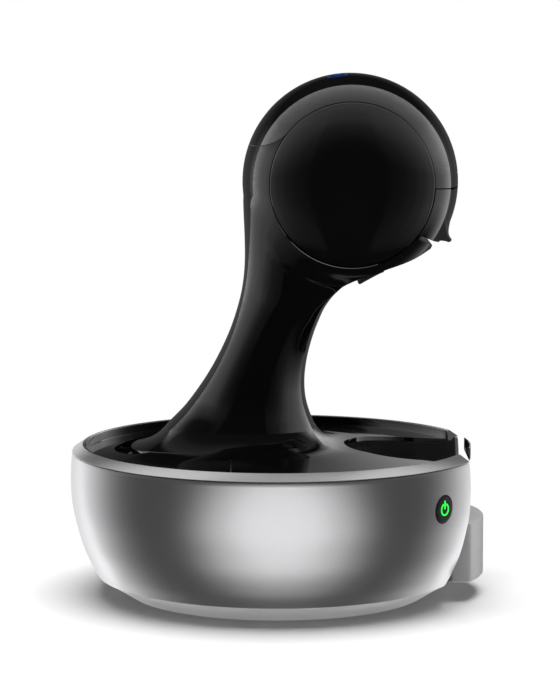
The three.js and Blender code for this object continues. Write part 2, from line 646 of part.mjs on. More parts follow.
// ---------------------------------------------------------------- pump, heater, control board, water lines
const PUMP = { x: 30, y: 84, z: 40 };
function pump() {
  const { x, y, z } = PUMP;
  return join(rod(16, [x - 24, y, z], [x + 8, y, z], 24), block(x - 20, x + 4, y - 18, y + 18, z - 18, z + 18),
    rod(9, [x + 6, y, z], [x + 22, y, z], 20), rod(3.4, [x + 20, y, z], [x + 30, y, z], 12),
    rod(7, [x - 34, y, z], [x - 22, y, z], 16), rod(3.4, [x - 42, y, z], [x - 33, y, z], 12));
}

function pumpMount(x, radius) {
  const { y, z } = PUMP;
  const foot = block(x - 4, x + 4, y - 12, y + 8, 14.8, z - radius + 6);
  return cut(foot, rod(radius + GAP, [x - 10, y, z], [x + 10, y, z], 24));
}

function thermoblock() {
  const core = block(-52, 6, -24, 24, 20, 66);
  const fins = [0, 1, 2, 3].map((i) => block(-52, 6, 24, 29, 24 + i * 11, 30 + i * 11));
  const ports = [rod(4, [-20, 10, 66], [-20, 10, 76], 14), rod(4, [-34, -10, 66], [-34, -10, 76], 14)];
  return join(core, ...fins, ...ports);
}

function thermoblockBracket() {
  return join(block(-54, 8, -20, 20, 15.4, 19.6), block(-10, -2, -8, 8, 8, 16), block(-44, -36, -8, 8, 8, 16));
}

function controlBoard() {
  const board = block(-14, 48, -96, -62, 22, 23.6);
  const parts = [block(-8, 12, -90, -70, 23.6, 40), block(20, 32, -92, -80, 23.6, 36),
    rod(5, [40, -72, 23.6], [40, -72, 42], 16), block(-12, -4, -68, -64, 23.6, 32)];
  return join(board, ...parts);
}

function boardPosts() {
  const bar = block(-14, 48, -95, -63, 17, 18.8);
  const places = [[-10, -92], [44, -92], [-10, -66], [44, -66]];
  return join(bar, ...places.map(([x, y]) => rod(2.4, [x, y, 14.8], [x, y, 21.6], 8)));
}

function flowMeter() {
  return join(rod(12, [-10, 62, 18], [-10, 62, 32], 20), rod(2.8, [-10, 62, 24], [-10, 77, 24], 12));
}

const HOSE_R = 2.4;
const suctionHose = () => tube([[-10, 77.5, 24], [-10, 83, 24], [-15, 90, 30], [-21, 86, 38],
  [-18, 84, 40], [-12.6, 84, 40]], HOSE_R, 14);
const pressureHose = () => tube([[60.6, 84, 40], [65, 84, 40.6], [66, 74, 52], [52, 58, 66],
  [20, 32, 78], [-10, 14, 83.4], [-20, 10, 81.6], [-20, 10, 76.8]], HOSE_R, 26);
const brewTube = () => tube([[-34, -10, 76.6], [-34, -10, 92], [-24, -6, 120], [-8, 0, 160], [4, 0, 200],
  [20, 0, 246], [42, 0, 272], [66, 0, 278], [82, 0, 270], headPoint(BASKET.s, 31)], HOSE_R, 34);
const tankLine = () => tube([[-45, 66.5, 12], [-36, 63, 11.6], [-24, 62, 11.2], [-12, 62, 12],
  [-10, 62, 17.2]], HOSE_R - 0.2, 14);

function cordGland() {
  return cut(cordWay(CORD.r, -103.4, -83.5), cordWay(CORD.r - 1.2, -110, -70));
}

// Screws that clamp the two halves of the column cover together from inside.
const bodyScrewPlaces = [[-14, 112], [-8, 222]];
const bodyScrew = ([x, z]) => rod(1.4, [x, -9, z], [x, 9, z], 10);

// ---------------------------------------------------------------- assembly
const group = new THREE.Group();
function add(name, finish, geometry, parent = group) {
  const shape = geometry.isBufferGeometry ? geometry : geometryOf(geometry);
  const mesh = new THREE.Mesh(shape, materialOf(finish));
  mesh.name = name;
  parent.add(mesh);
  return mesh;
}

function addBase() {
  add('foot_ring', 'light', footRing());
  add('base_plate', 'black', basePlate());
  footPlaces.forEach((place, i) => add(`rubber_foot_${i + 1}`, 'rubber', rubberFoot(place)));
  screwPlaces.forEach((place, i) => add(`base_screw_${i + 1}`, 'steel', baseScrew(place)));
  add('chassis', 'black', chassis());
  add('bowl_shell', 'silver', bowlShell());
  add('rim_ring', 'silver', rimRing());
  add('well_liner', 'black', wellLiner());
  add('cord_gland', 'rubber', cordGland());
}

function addCovers() {
  add('body_shell_left', 'gloss', bodyShell(-1));
  add('body_shell_right', 'gloss', bodyShell(1));
  bodyScrewPlaces.forEach((place, i) => add(`body_screw_${i + 1}`, 'steel', bodyScrew(place)));
  add('hood', 'gloss', hood());
  add('side_disc_left', 'gloss', sideDisc(-1));
  add('side_disc_right', 'gloss', sideDisc(1));
  add('touch_board', 'board', touchBoard());
  add('cold_touch_icon', 'cold', touchIcon(-ICON.y));
  add('hot_touch_icon', 'hot', touchIcon(ICON.y));
}

function addBrewing() {
  add('lock_handle', 'gloss', lockHandle());
  add('lock_handle_pin', 'steel', handlePin());
  add('capsule_holder', 'gloss', capsuleHolder());
  add('spout_guard', 'black', spoutGuard());
  add('head_frame', 'black', headFrame());
  add('injector_plate', 'white', injectorPlate());
  add('injector_needle', 'steel', injectorNeedle());
  add('injector_seal', 'silicone', injectorSeal());
}

function addWater() {
  add('water_tank', 'clear', waterTank());
  add('tank_lid', 'gloss', tankLid());
  add('tank_valve', 'white', tankValve());
  add('tank_filter', 'white', tankFilter());
  add('tank_socket', 'black', tankSocket());
  add('tank_socket_seal', 'silicone', tankSocketSeal());
  const valveSpring = add('tank_valve_spring', 'steel', spring(4.4, 0.4, 1.9, 4));
  valveSpring.position.set(...tankPort, 21.0);
}

function addTray() {
  add('drip_tray', 'black', dripTray());
  add('drip_tray_front', 'light', dripTrayFront());
  add('drip_grid', 'steel', dripGrid());
}

function addButton() {
  const holder = new THREE.Group();
  holder.position.set(...onBowl(BUTTON.angle, BUTTON.out, BUTTON.z));
  const inward = new THREE.Vector3(-Math.cos(BUTTON.angle), -Math.sin(BUTTON.angle), 0);
  const up = new THREE.Vector3(0, 0, 1);
  const across = new THREE.Vector3().crossVectors(up, inward);
  holder.quaternion.setFromRotationMatrix(new THREE.Matrix4().makeBasis(across, up, inward));
  group.add(holder);
  add('power_button', 'black', powerButton(), holder);
  add('power_icon', 'green', powerIcon(), holder);
  add('button_housing', 'black', buttonHousing(), holder);
  const coil = add('button_spring', 'steel', spring(4.6, 0.45, 2.1, 4), holder);
  coil.position.set(0, 0, 6.8);
}

function addWorks() {
  add('pump', 'black', pump());
  add('pump_mount_front', 'rubber', pumpMount(PUMP.x + 14, 9));
  add('pump_mount_rear', 'rubber', pumpMount(PUMP.x - 28, 7));
  add('thermoblock', 'steel', thermoblock());
  add('thermoblock_bracket', 'black', thermoblockBracket());
  add('control_board', 'board', controlBoard());
  add('board_posts', 'black', boardPosts());
  add('flow_meter', 'white', flowMeter());
  add('tank_line', 'silicone', tankLine());
  add('suction_hose', 'silicone', suctionHose());
  add('pressure_hose', 'silicone', pressureHose());
  add('brew_tube', 'silicone', brewTube());
}

addBase();
addCovers();
addBrewing();
addWater();
addTray();
addButton();
addWorks();

export default group;
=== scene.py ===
"""Looks of the pod coffee machine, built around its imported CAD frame. Lengths are in millimetres."""
import json
import math

import bpy
import numpy as np
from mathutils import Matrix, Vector


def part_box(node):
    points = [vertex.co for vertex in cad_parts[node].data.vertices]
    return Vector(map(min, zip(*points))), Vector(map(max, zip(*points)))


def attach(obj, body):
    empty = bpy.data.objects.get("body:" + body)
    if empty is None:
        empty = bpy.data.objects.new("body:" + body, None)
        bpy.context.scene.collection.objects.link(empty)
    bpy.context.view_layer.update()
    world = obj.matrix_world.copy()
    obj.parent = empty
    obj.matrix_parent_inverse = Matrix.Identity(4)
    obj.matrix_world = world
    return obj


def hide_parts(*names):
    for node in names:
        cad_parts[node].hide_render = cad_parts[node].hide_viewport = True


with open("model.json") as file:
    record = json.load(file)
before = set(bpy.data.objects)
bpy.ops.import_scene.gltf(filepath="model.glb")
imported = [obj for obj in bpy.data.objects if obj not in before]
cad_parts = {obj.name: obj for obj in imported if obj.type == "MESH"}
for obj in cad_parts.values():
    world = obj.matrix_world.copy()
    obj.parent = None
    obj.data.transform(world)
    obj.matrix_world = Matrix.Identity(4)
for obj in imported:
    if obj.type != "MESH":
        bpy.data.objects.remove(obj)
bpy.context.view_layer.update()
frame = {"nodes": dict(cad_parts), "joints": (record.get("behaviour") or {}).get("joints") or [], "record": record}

# ---------------- sizes, read from the frame
MM = 0.001


def size_of(node):
    """Lowest and highest corner of a CAD node, in millimetres."""
    low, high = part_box(node)
    return np.array(low) / MM, np.array(high) / MM


def middle_of(node):
    low, high = size_of(node)
    return (low + high) / 2


JOINTS = {joint["name"]: joint for joint in frame["joints"]}
HEAD_X, _, HEAD_Z = middle_of("side_disc_left")
DISC_R = size_of("side_disc_left")[1][0] - HEAD_X
HEAD_R = size_of("hood")[1][2] - HEAD_Z
RIDGE_R, RIDGE_Y = HEAD_R - 6.7, 40.0
BOWL_R = size_of("bowl_shell")[1][1]
BOWL_BOTTOM = size_of("bowl_shell")[0][2]
RIM_TOP = size_of("rim_ring")[1][2]
LID_EDGE_R = -size_of("tank_lid")[0][0]
LID_FRONT_X = size_of("tank_lid")[1][0]
TRAY_LOW, TRAY_HIGH = size_of("drip_tray")
TRAY_FRONT_LOW, TRAY_FRONT_HIGH = size_of("drip_tray_front")
GRID_LOW, GRID_HIGH = size_of("drip_grid")
PIVOT_X, _, PIVOT_Z = (v / MM for v in JOINTS["handle_hinge"]["pos_m"])
SLIDE_X, _, SLIDE_Z = JOINTS["holder_slide"]["axis"]
PRESS_X, PRESS_Y, _ = JOINTS["button_press"]["axis"]
BUTTON_Z = middle_of("power_button")[2]
BUTTON_R = size_of("power_button")[1][2] - BUTTON_Z

SKIN = 2.6  # wall of the black covers
SEAM = 0.42  # width of the joints between covers
DISC_GAP = 0.6  # width of the joint around the side discs
DECK_MID, DECK_EDGE = 91.2, 87.0  # height of the deck by the column and at its edge
SKIRT_Z = 104.0  # where the column's flare to the deck starts
DECK_R = LID_EDGE_R - 1.2  # where the deck meets its raised lip
LIP = [(0.1, 87.6), (0.3, 92.0), (0.5, 92.35), (0.9, 92.35), (1.1, 92.1), (1.1, 88)]
WELL_X, WELL_R = 86.0, 45.0  # round back of the cup well
FRONT_ANGLE = math.radians(24.7)  # half angle of the opening in the bowl
HANDLE_SEAM = math.radians(-2.5)  # seam between hood and lock handle
HOOD_SEAM = math.radians(141)  # where the hood's rear seam meets the disc
SEAM_X, SEAM_Z = 82.8, 222.6  # a point on the capsule holder's seam
TONGUE_REAR, TONGUE_NOSE = -36, 10.8  # ends of the capsule holder's tongue, along its slide
TONGUE_HALF = 26  # half the tongue's width
BASKET_PLACE = -13  # the capsule basket's axis, along the slide
KNUCKLE_HALF = 15  # half the width of the lock handle's knuckle
FOOT_X, FOOT_LONG, FOOT_WIDE = -22.75, 66.75, 57.0  # centre and half axes of the column's foot
FOOT_POWER = 2.2  # how square the foot's outline is
FILL_X, FILL_LONG, FILL_WIDE = -70.2, 30.0, 38.8  # the tank lid's opening
BOWL_TOP = 87.9  # height of the bowl's upper edge, under the rim


# ---------------- meshes and booleans
def new_object(name, points, faces):
    mesh = bpy.data.meshes.new(name)
    mesh.from_pydata((np.asarray(points, dtype=float) * MM).tolist(), [], faces)
    mesh.validate()
    made = bpy.data.objects.new(name, mesh)
    bpy.context.scene.collection.objects.link(made)
    return made


def closed_mesh(name, points, faces):
    """A closed mesh with its faces turned outward."""
    made = new_object(name, points, faces)
    turn_outward(made.data)
    return made


def turn_outward(mesh):
    mesh.calc_loop_triangles()
    corners = np.empty(len(mesh.vertices) * 3)
    mesh.vertices.foreach_get("co", corners)
    corners = corners.reshape(-1, 3)
    triangles = np.empty(len(mesh.loop_triangles) * 3, dtype=np.int64)
    mesh.loop_triangles.foreach_get("vertices", triangles)
    a, b, c = corners[triangles.reshape(-1, 3)].transpose(1, 0, 2)
    if np.einsum("ij,ij->i", a, np.cross(b, c)).sum() < 0:
        mesh.flip_normals()


def apply_modifiers(made):
    graph = bpy.context.evaluated_depsgraph_get()
    mesh = bpy.data.meshes.new_from_object(made.evaluated_get(graph))
    made.modifiers.clear()
    old = made.data
    made.data = mesh
    bpy.data.meshes.remove(old)
    return made


def combine(target, tools, operation="DIFFERENCE", keep_tools=False):
    """Cuts target by, or joins or crosses it with, each tool, and applies the result."""
    for tool in tools:
        step = target.modifiers.new("step", "BOOLEAN")
        step.operation = operation
        step.solver = "MANIFOLD"
        step.object = tool
    apply_modifiers(target)
    if not keep_tools:
        for tool in tools:
            bpy.data.objects.remove(tool)
    return target


def rounded(made, width, angle=60, segments=3):
    """Rounds a piece's edges and applies the result."""
    bevel = made.modifiers.new("round", "BEVEL")
    bevel.width = width * MM
    bevel.segments = segments
    bevel.limit_method = "ANGLE"
    bevel.angle_limit = math.radians(angle)
    return apply_modifiers(made)


def part_of(solid, region):
    """A copy of a solid, cut down to a region."""
    made = bpy.data.objects.new(region.name, solid.data.copy())
    bpy.context.scene.collection.objects.link(made)
    return combine(made, [region], "INTERSECT")


def lathe(name, profile, sides=160, centre=(0.0, 0.0), axis="Z", side=1.0):
    """A closed profile of (radius, height) points turned about Z, or about an axis along Y."""
    profile = np.asarray(profile, dtype=float)
    count = len(profile)
    angle = np.arange(sides) * 2 * math.pi / sides
    radius = profile[:, 0][None, :]
    across = np.repeat(profile[:, 1][None, :], sides, axis=0)
    u = np.cos(angle)[:, None] * radius
    v = np.sin(angle)[:, None] * radius
    if axis == "Z":
        points = np.stack([centre[0] + u, centre[1] + v, across], axis=-1)
    else:
        points = np.stack([centre[0] + u, side * across, centre[1] + v], axis=-1)
    index = np.arange(sides * count).reshape(sides, count)
    poles = profile[:, 0] < 1e-6
    index[:, poles] = index[0, poles]
    kept, index = np.unique(index, return_inverse=True)
    index = index.reshape(sides, count)
    faces = []
    for i in range(sides):
        near, far = index[i], index[(i + 1) % sides]
        for j in range(count):
            k = (j + 1) % count
            corners = list(dict.fromkeys([near[j], far[j], far[k], near[k]]))
            if len(corners) > 2:
                faces.append([int(c) for c in corners])
    return closed_mesh(name, points.reshape(-1, 3)[kept], faces)


def loft(name, loops):
    """A closed mesh through loops of points, capped at both ends."""
    count = len(loops[0])
    last = (len(loops) - 1) * count
    faces = [list(range(count)), list(range(last + count - 1, last - 1, -1))]
    for a in range(0, last, count):
        b = a + count
        faces += [[a + i, b + i, b + (i + 1) % count, a + (i + 1) % count] for i in range(count)]
    return closed_mesh(name, np.vstack(loops), faces)


def prism(name, outline, low, high, plane="XY"):
    """An outline drawn in the XY or XZ plane, made solid from low to high along the third axis."""
    first, second = np.array(outline, dtype=float).T
    layers = []
    for level in (low, high):
        third = np.full_like(first, level)
        columns = [first, second, third] if plane == "XY" else [first, third, second]
        layers.append(np.column_stack(columns))
    return loft(name, layers)


def side_slab(name, outline, half=90):
    """A side view's outline, made solid across the machine."""
    return prism(name, outline, -half, half, plane="XZ")


def rect(left, low, right, high):
    return [(left, low), (right, low), (right, high), (left, high)]


def arc(centre, radius, start, stop, steps):
    angle = np.linspace(start, stop, steps)
    return [(centre[0] + radius * math.cos(a), centre[1] + radius * math.sin(a)) for a in angle]


def bezier(points, steps):
    """Points along a Bezier curve of any degree."""
    t = np.linspace(0, 1, steps)[:, None]
    layer = [np.array(p, dtype=float)[None, :] + 0 * t for p in points]
    while len(layer) > 1:
        layer = [a * (1 - t) + b * t for a, b in zip(layer, layer[1:])]
    return [tuple(p) for p in layer[0]]


def smooth_curve(knots, at):
    """A smooth curve through (place, value) knots, by Hermite pieces, read at the places given."""
    place, value = np.array(knots, dtype=float).T
    slope = np.gradient(value, place)
    at = np.clip(at, place[0], place[-1])
    k = np.clip(np.searchsorted(place, at, side="right") - 1, 0, len(place) - 2)
    width = place[k + 1] - place[k]
    t = (at - place[k]) / width
    return (value[k] * (1 + 2 * t) * (1 - t) ** 2 + value[k + 1] * t * t * (3 - 2 * t)
            + width * (slope[k] * t * (1 - t) ** 2 + slope[k + 1] * t * t * (t - 1)))


def ease(x, low, high):
    t = np.clip((np.asarray(x, dtype=float) - low) / (high - low), 0, 1)
    return t * t * (3 - 2 * t)


def polar(radius, angle):
    return (HEAD_X + radius * math.cos(angle), HEAD_Z + radius * math.sin(angle))


def slide_point(s, n):
    """A point in the XZ plane, s along the capsule holder's slide and n up from its seam."""
    return (SEAM_X + SLIDE_X * s - SLIDE_Z * n, SEAM_Z + SLIDE_Z * s + SLIDE_X * n)


TONGUE_BACK = slide_point(TONGUE_REAR, 0)[0]  # where the tongue ends, level with the column


# ---------------- the body's outer surface
# Curves of (height, place): the column's rear and front, the head's underside that carries on from the
# front, the front of the column's sides, and half the column's width.
REAR = [(104, -67.6), (112.5, -59.1), (124.9, -49.4), (137.3, -41.3), (149.6, -34.7), (161.9, -29.2),
        (174.2, -25.0), (186.5, -21.9), (198.7, -20.3), (208, -19.9), (217, -20.0), (235, -20.7),
        (254, -21.3)]
FRONT = [(104, 22.6), (110, 20.2), (118.7, 17.6), (131.1, 16.5), (143.4, 17.7), (155.8, 20.6),
         (168.1, 24.9), (180.4, 31.1), (187.7, 37.3), (193, 45.0), (199, 54.0), (210, 60.0), (254, 60.0)]
CHIN = FRONT[:9] + [(193.2, 44.3), (196.1, 50.5), (198.6, 57.5), (200.9, 63.7), (203.5, 70.7),
                    (206.2, 78.5), (208.3, 83.5), (210.5, 87.6), (212.8, 91.3), (215.2, 95.5),
                    (218.6, 106), (254, 240)]
SIDE_FRONT = [(104, 25.6), (118.7, 20.6), (131.1, 19.5), (143.4, 20.8), (155.8, 24.5), (168.1, 32.0),
              (178, 42.0), (187.7, 58.0), (195, 70.0), (205, 80.0), (220, 84.0), (254, 84.0)]
HALF = [(104, 43.0), (112, 40.6), (122, 38.8), (135, 38.0), (150, 38.6), (170, 41.4), (190, 45.6),
        (205, 48.6), (230, 51.2), (254, 52.0)]
SQUARENESS = [(104, 2.4), (120, 2.8), (150, 3.2), (190, 3.2), (221, 3.1), (245, 2.6), (254, 2.6)]
CORNER = 38.0  # length of the rounded corners in the column's level sections

# How much the crowns bend from the centre plane to their ridges, at the rear by height and in front.
REAR_STRIP = [(104, 4.2), (125, 3.0), (150, 2.2), (197, 2.3), (215, 3.2), (232, 4.6), (254, 6.7)]
FRONT_STRIP = 2.6
FLAT_END = 3.0  # how far the column's side profile runs on past its crowns

HANDLE_INNER_R = DISC_R + DISC_GAP + 0.2  # where the handle and the holder end at the disc's joint
DISC_TILT, BAND_TILT, RIDGE_TILT = (math.radians(a) for a in (23, 30, 61))
_radii = np.linspace(0, 2 * HEAD_R, 1200)
_past_disc = np.clip((_radii - DISC_R) / (RIDGE_R - DISC_R), 0, 1.2)
_tilt = np.where(_radii < DISC_R, DISC_TILT * (_radii / DISC_R) ** 2.2,
                 BAND_TILT + (RIDGE_TILT - BAND_TILT) * _past_disc)
_fall = np.concatenate([[0], np.cumsum(np.tan((_tilt[1:] + _tilt[:-1]) / 2) * np.diff(_radii))])
_side = RIDGE_Y + np.interp(RIDGE_R, _radii, _fall) - _fall


def side_height(radius):
    """How far the head's side stands out from the centre plane at a radius from its axis."""
    return np.interp(radius, _radii, _side)


def crown_radius(y):
    return HEAD_R - (HEAD_R - RIDGE_R) * (y / RIDGE_Y) ** 2


def smooth_min(a, b, reach):
    h = np.clip(0.5 + 0.5 * (b - a) / reach, 0, 1)
    return b * (1 - h) + a * h - reach * h * (1 - h)


def head_radius(x, z):
    return np.hypot(x - HEAD_X, z - HEAD_Z)


def drum_side(x, y, z):
    radius = head_radius(x, z)
    return (np.abs(y) - side_height(radius)) * np.cos(np.interp(radius, _radii, _tilt))


def drum_crown(x, y, z):
    return head_radius(x, z) - crown_radius(np.minimum(np.abs(y), 1.3 * RIDGE_Y))


def column_side(x, y, z):
    rear, front = smooth_curve(REAR, z) - FLAT_END, smooth_curve(SIDE_FRONT, z)
    half, power = smooth_curve(HALF, z), smooth_curve(SQUARENESS, z)
    length = (front - rear) / 2
    reach = np.minimum(length, CORNER)
    t = np.maximum(np.abs(x - (front + rear) / 2) - length + reach, 0) / reach
    grown = (t ** power + (np.abs(y) / half) ** power) ** (1 / power)
    return (grown - 1) * np.minimum(reach, half) + 3 * ease(z, 236, HEAD_Z)


def crown_bend(y, z):
    """How far the crowns have bent away at y: nothing on the centre plane, one at their ridges."""
    return (y / (0.77 * smooth_curve(HALF, z))) ** 2


def rear_crown_x(y, z):
    """Where the column's rear crown lies: it is furthest back on the centre plane."""
    rear = smooth_curve(REAR, z) + smooth_curve(REAR_STRIP, z) * crown_bend(y, z)
    return rear + 1.5 * ease(z, 240, HEAD_Z)


def front_crown_x(y, z):
    """Where the column's front and the head's underside lie."""
    return smooth_curve(CHIN, z) - FRONT_STRIP * crown_bend(y, z)


def side_field(x, y, z):
    return smooth_min(drum_side(x, y, z), column_side(x, y, z), 2.4 + 6.6 * (1 - ease(z, 205, 238)))


def body_field(x, y, z):
    """Negative inside the column and head, zero on their skin."""
    slope = (smooth_curve(CHIN, z + 0.2) - smooth_curve(CHIN, z - 0.2)) / 0.4
    front = (x - front_crown_x(y, z)) / np.sqrt(1 + slope ** 2)
    past_front = x - smooth_curve(FRONT, z) - FLAT_END * (1 - ease(z, 180, 190))
    column = np.maximum(rear_crown_x(y, z) - x, past_front)
    crown = smooth_min(drum_crown(x, y, z), column, 0.5)
    return np.maximum(np.maximum(side_field(x, y, z), crown), front)


def section_centre(z):
    column = (smooth_curve(REAR, z) + smooth_curve(FRONT, z)) / 2
    return column + (HEAD_X - column) * ease(z, 180, HEAD_Z)


def ridge_points(z):
    """Where the front and the rear crown meet the side at a level."""
    y = np.linspace(4, 62, 600)
    level = np.full_like(y, z)
    chord = np.sqrt(np.maximum(crown_radius(np.minimum(y, 1.3 * RIDGE_Y)) ** 2 - (z - HEAD_Z) ** 2, 0))
    front, rear = front_crown_x(y, level), rear_crown_x(y, level)
    if abs(z - HEAD_Z) < HEAD_R - 1:
        front = np.minimum(front, HEAD_X + chord)
        rear = np.minimum(rear, HEAD_X - chord)
    found = []
    for x in (front, rear):
        outside = side_field(x, y, level) > 0
        k = int(np.argmax(outside)) if outside.any() else len(y) - 1
        found.append((x[k], y[k]))
    return found


def ray_angles(z, near_ridge, between):
    """Directions of half a level section's points. One follows the front ridge and one the rear ridge."""
    centre = section_centre(z)
    (front_x, front_y), (rear_x, rear_y) = ridge_points(z)
    front, rear = math.atan2(front_y, front_x - centre), math.atan2(rear_y, rear_x - centre)
    before, after = np.linspace(0, front, near_ridge + 1), np.linspace(rear, math.pi, near_ridge + 1)
    return np.concatenate([before[:-1], np.linspace(front, rear, between + 1)[:-1], after])


def section(z, angles, offset):
    """A level section of the body, grown by offset: where rays from its centre leave the surface."""
    centre = section_centre(z)
    low, high = np.zeros_like(angles), np.full_like(angles, 120.0)
    for _ in range(34):
        middle = (low + high) / 2
        x, y = centre + middle * np.cos(angles), middle * np.sin(angles)
        inside = body_field(x, y, np.full_like(angles, z)) < offset
        low, high = np.where(inside, middle, low), np.where(inside, high, middle)
    return np.column_stack([centre + low * np.cos(angles), low * np.sin(angles), np.full_like(angles, z)])


def deck_height(x, y):
    radius = np.hypot(x, y)
    return np.interp(radius, [62, LID_EDGE_R], [DECK_MID, DECK_EDGE])


def skirt(first, offset, steps, edge_r):
    """Loops from the column's lowest section out to the deck's edge: the flare dies out exponentially."""
    cx = section_centre(SKIRT_Z)
    direction = first[:, :2] - [cx, 0]
    start = np.hypot(*direction.T)
    direction /= start[:, None]
    along = direction[:, 0] * cx
    reach = -along + np.sqrt(along ** 2 + edge_r ** 2 - cx ** 2)
    spread = 8.6 - 1.2 * direction[:, 0]
    loops = []
    for step in range(1, steps + 1):
        share = (step / steps) ** 1.7
        gone = share * (reach - start)
        x = cx + direction[:, 0] * (start + gone)
        y = direction[:, 1] * (start + gone)
        deck = deck_height(x, y) + offset
        z = deck + (SKIRT_Z - deck) * np.exp(-gone / spread)
        loops.append(np.column_stack([x, y, z]))
    return loops


def body_solid(name, offset, bottom, step=1.2, near_ridge=20, between=72, turns=80, lip=None):
    """The column, head and deck as one closed solid, its skin moved out by offset."""
    levels = np.concatenate([np.arange(SKIRT_Z, 184, step), np.arange(184, 216, step / 3),
                             np.arange(216, HEAD_Z, step), [HEAD_Z]])
    loops = []
    for z in levels:
        angles = ray_angles(z, near_ridge, between)
        full = np.concatenate([angles, -angles[-2:0:-1]])
        loops.append(section(z, full, offset))
    around = len(loops[0])
    outward = skirt(loops[0], offset, 30, DECK_R + min(offset, 0))
    for grow, height in lip or ():
        raised = outward[29].copy()
        raised[:, :2] *= (DECK_R + grow) / np.hypot(raised[:, :1], raised[:, 1:2])
        raised[:, 2] = height
        outward.append(raised)
    floor = outward[-1].copy()
    floor[:, 2] = bottom
    stack = [floor] + outward[::-1] + loops
    points = [p for loop in stack for p in loop]
    faces = []
    for i in range(len(stack) - 1):
        a, b = i * around, (i + 1) * around
        faces += [[a + j, a + (j + 1) % around, b + (j + 1) % around, b + j] for j in range(around)]
    faces.append(list(range(around - 1, -1, -1)))
    faces += head_top(points, (len(stack) - 1) * around, around, turns)
    return closed_mesh(name, points, faces)


def head_top(points, base, around, turns):
    """Half turns over the head that join the front half of its level section to the rear half."""
    half, quarter = around // 2, around // 4
    rows = {}
    for j in range(-quarter, quarter + 1):
        near, far = (j % around), ((half - j) % around)
        x, y, _ = points[base + near]
        radius = x - HEAD_X
        if abs(j) == quarter:
            rows[j] = [base + near] * (turns + 1)
            continue
        row = [base + near]
        for i in range(1, turns):
            angle = math.pi * i / turns
            points.append((HEAD_X + radius * math.cos(angle), y, HEAD_Z + radius * math.sin(angle)))
            row.append(len(points) - 1)
        rows[j] = row + [base + far]
    faces = []
    for j in range(-quarter, quarter):
        for i in range(turns):
            corners = [rows[j][i], rows[j + 1][i], rows[j + 1][i + 1], rows[j][i + 1]]
            corners = list(dict.fromkeys(corners))
            if len(corners) > 2:
                faces.append(corners)
    return faces


# ---------------- outlines of the covers
def hood_outline(gap):
    """The hood in the side view: above its rear seam, outside the disc, behind the handle's seam."""
    inner = DISC_R + DISC_GAP
    meet = polar(inner, HOOD_SEAM)
    rear = bezier([(-14.5, 275.2 + gap), (-8, 275.0 + gap), (0, 277.6 + gap), meet], 24)
    front = HANDLE_SEAM + gap / HEAD_R
    circle = arc((HEAD_X, HEAD_Z), inner, HOOD_SEAM - gap / inner, front, 90)
    return [(-60, 275.2 + gap)] + rear + circle + [polar(130, front), (190, 360), (-60, 360)]


def handle_outline(top_gap, bottom_gap, inner):
    """The lock handle in the side view, between its own seam and the holder's."""
    top = HANDLE_SEAM - top_gap / HEAD_R
    low = math.radians(-38)
    return ([polar(130, top)] + arc((HEAD_X, HEAD_Z), inner, top, low, 50)
            + [slide_point(2.5, bottom_gap), slide_point(70, bottom_gap)])


def holder_outline(drop, inner):
    """The capsule holder in the side view: below its seam, outside the disc."""
    start, meet = math.radians(-40), math.radians(-72)
    seam = [slide_point(11.4, -drop), slide_point(0, -drop)]
    nose = [slide_point(70, -60), slide_point(12.2, -6.0), slide_point(11.6, -3.2)]
    return seam + arc((HEAD_X, HEAD_Z), inner, start, meet, 40) + [polar(130, meet)] + nose


def below_chin(rise):
    """All that lies below the head's underside, moved up by rise."""
    z = np.linspace(CHIN[8][0], CHIN[17][0], 40)
    line = [(a, b + rise) for a, b in zip(smooth_curve(CHIN, z), z)]
    return side_slab("below", line + [(170, line[-1][1]), (170, 150), (line[0][0], 150)])


def well_outline(grow):
    """Outline of the cup well: a round back and straight sides out to the bowl's opening."""
    mouth = (128 * math.cos(FRONT_ANGLE), 128 * math.sin(FRONT_ANGLE) - 1.6 + grow)
    back = arc((WELL_X, 0), WELL_R + grow, math.pi / 2, 1.5 * math.pi, 64)
    return [mouth] + back + [(mouth[0], -mouth[1])]


def foot_outline(margin):
    """Outline of the column's foot, which the tank and its lid pass around."""
    angle = np.linspace(0, 2 * math.pi, 161)[:-1]
    c, s = np.cos(angle), np.sin(angle)
    reach = (np.abs(c) ** FOOT_POWER + np.abs(s) ** FOOT_POWER) ** (-1 / FOOT_POWER)
    return np.column_stack([FOOT_X + (FOOT_LONG + margin) * c * reach, (FOOT_WIDE + margin) * s * reach])


def fill_outline(margin):
    """Outline of the tank lid's opening."""
    angle = np.linspace(0, 2 * math.pi, 121)[:-1]
    x = FILL_X + (FILL_LONG + margin) * np.cos(angle)
    return np.column_stack([x, (FILL_WIDE + margin) * np.sin(angle)])


def cylinder_tool(name, radius, a, b, sides=96):
    """A round cutting tool between two points."""
    a, b = np.array(a, dtype=float), np.array(b, dtype=float)
    axis = (b - a) / np.linalg.norm(b - a)
    side = np.cross(axis, [0, 0, 1] if abs(axis[2]) < 0.9 else [1, 0, 0])
    side /= np.linalg.norm(side)
    other = np.cross(axis, side)
    angle = np.arange(sides) * 2 * math.pi / sides
    ring = np.cos(angle)[:, None] * side * radius + np.sin(angle)[:, None] * other * radius
    return loft(name, [ring + a, ring + b])


# ---------------- materials
def feed(tree, node, inputs):
    """Sets a node's inputs, each to a plain value or to another node's output."""
    for key, value in inputs.items():
        if isinstance(value, bpy.types.NodeSocket):
            tree.links.new(value, node.inputs[key])
        else:
            node.inputs[key].default_value = value


def add_node(tree, kind, inputs=None, **settings):
    made = tree.nodes.new("ShaderNode" + kind)
    for key, value in settings.items():
        setattr(made, key, value)
    feed(tree, made, inputs or {})
    return made


def node_material(name):
    made = bpy.data.materials.new(name)
    made.use_nodes = True
    made["slot"] = name
    return made, made.node_tree, made.node_tree.nodes["Principled BSDF"]


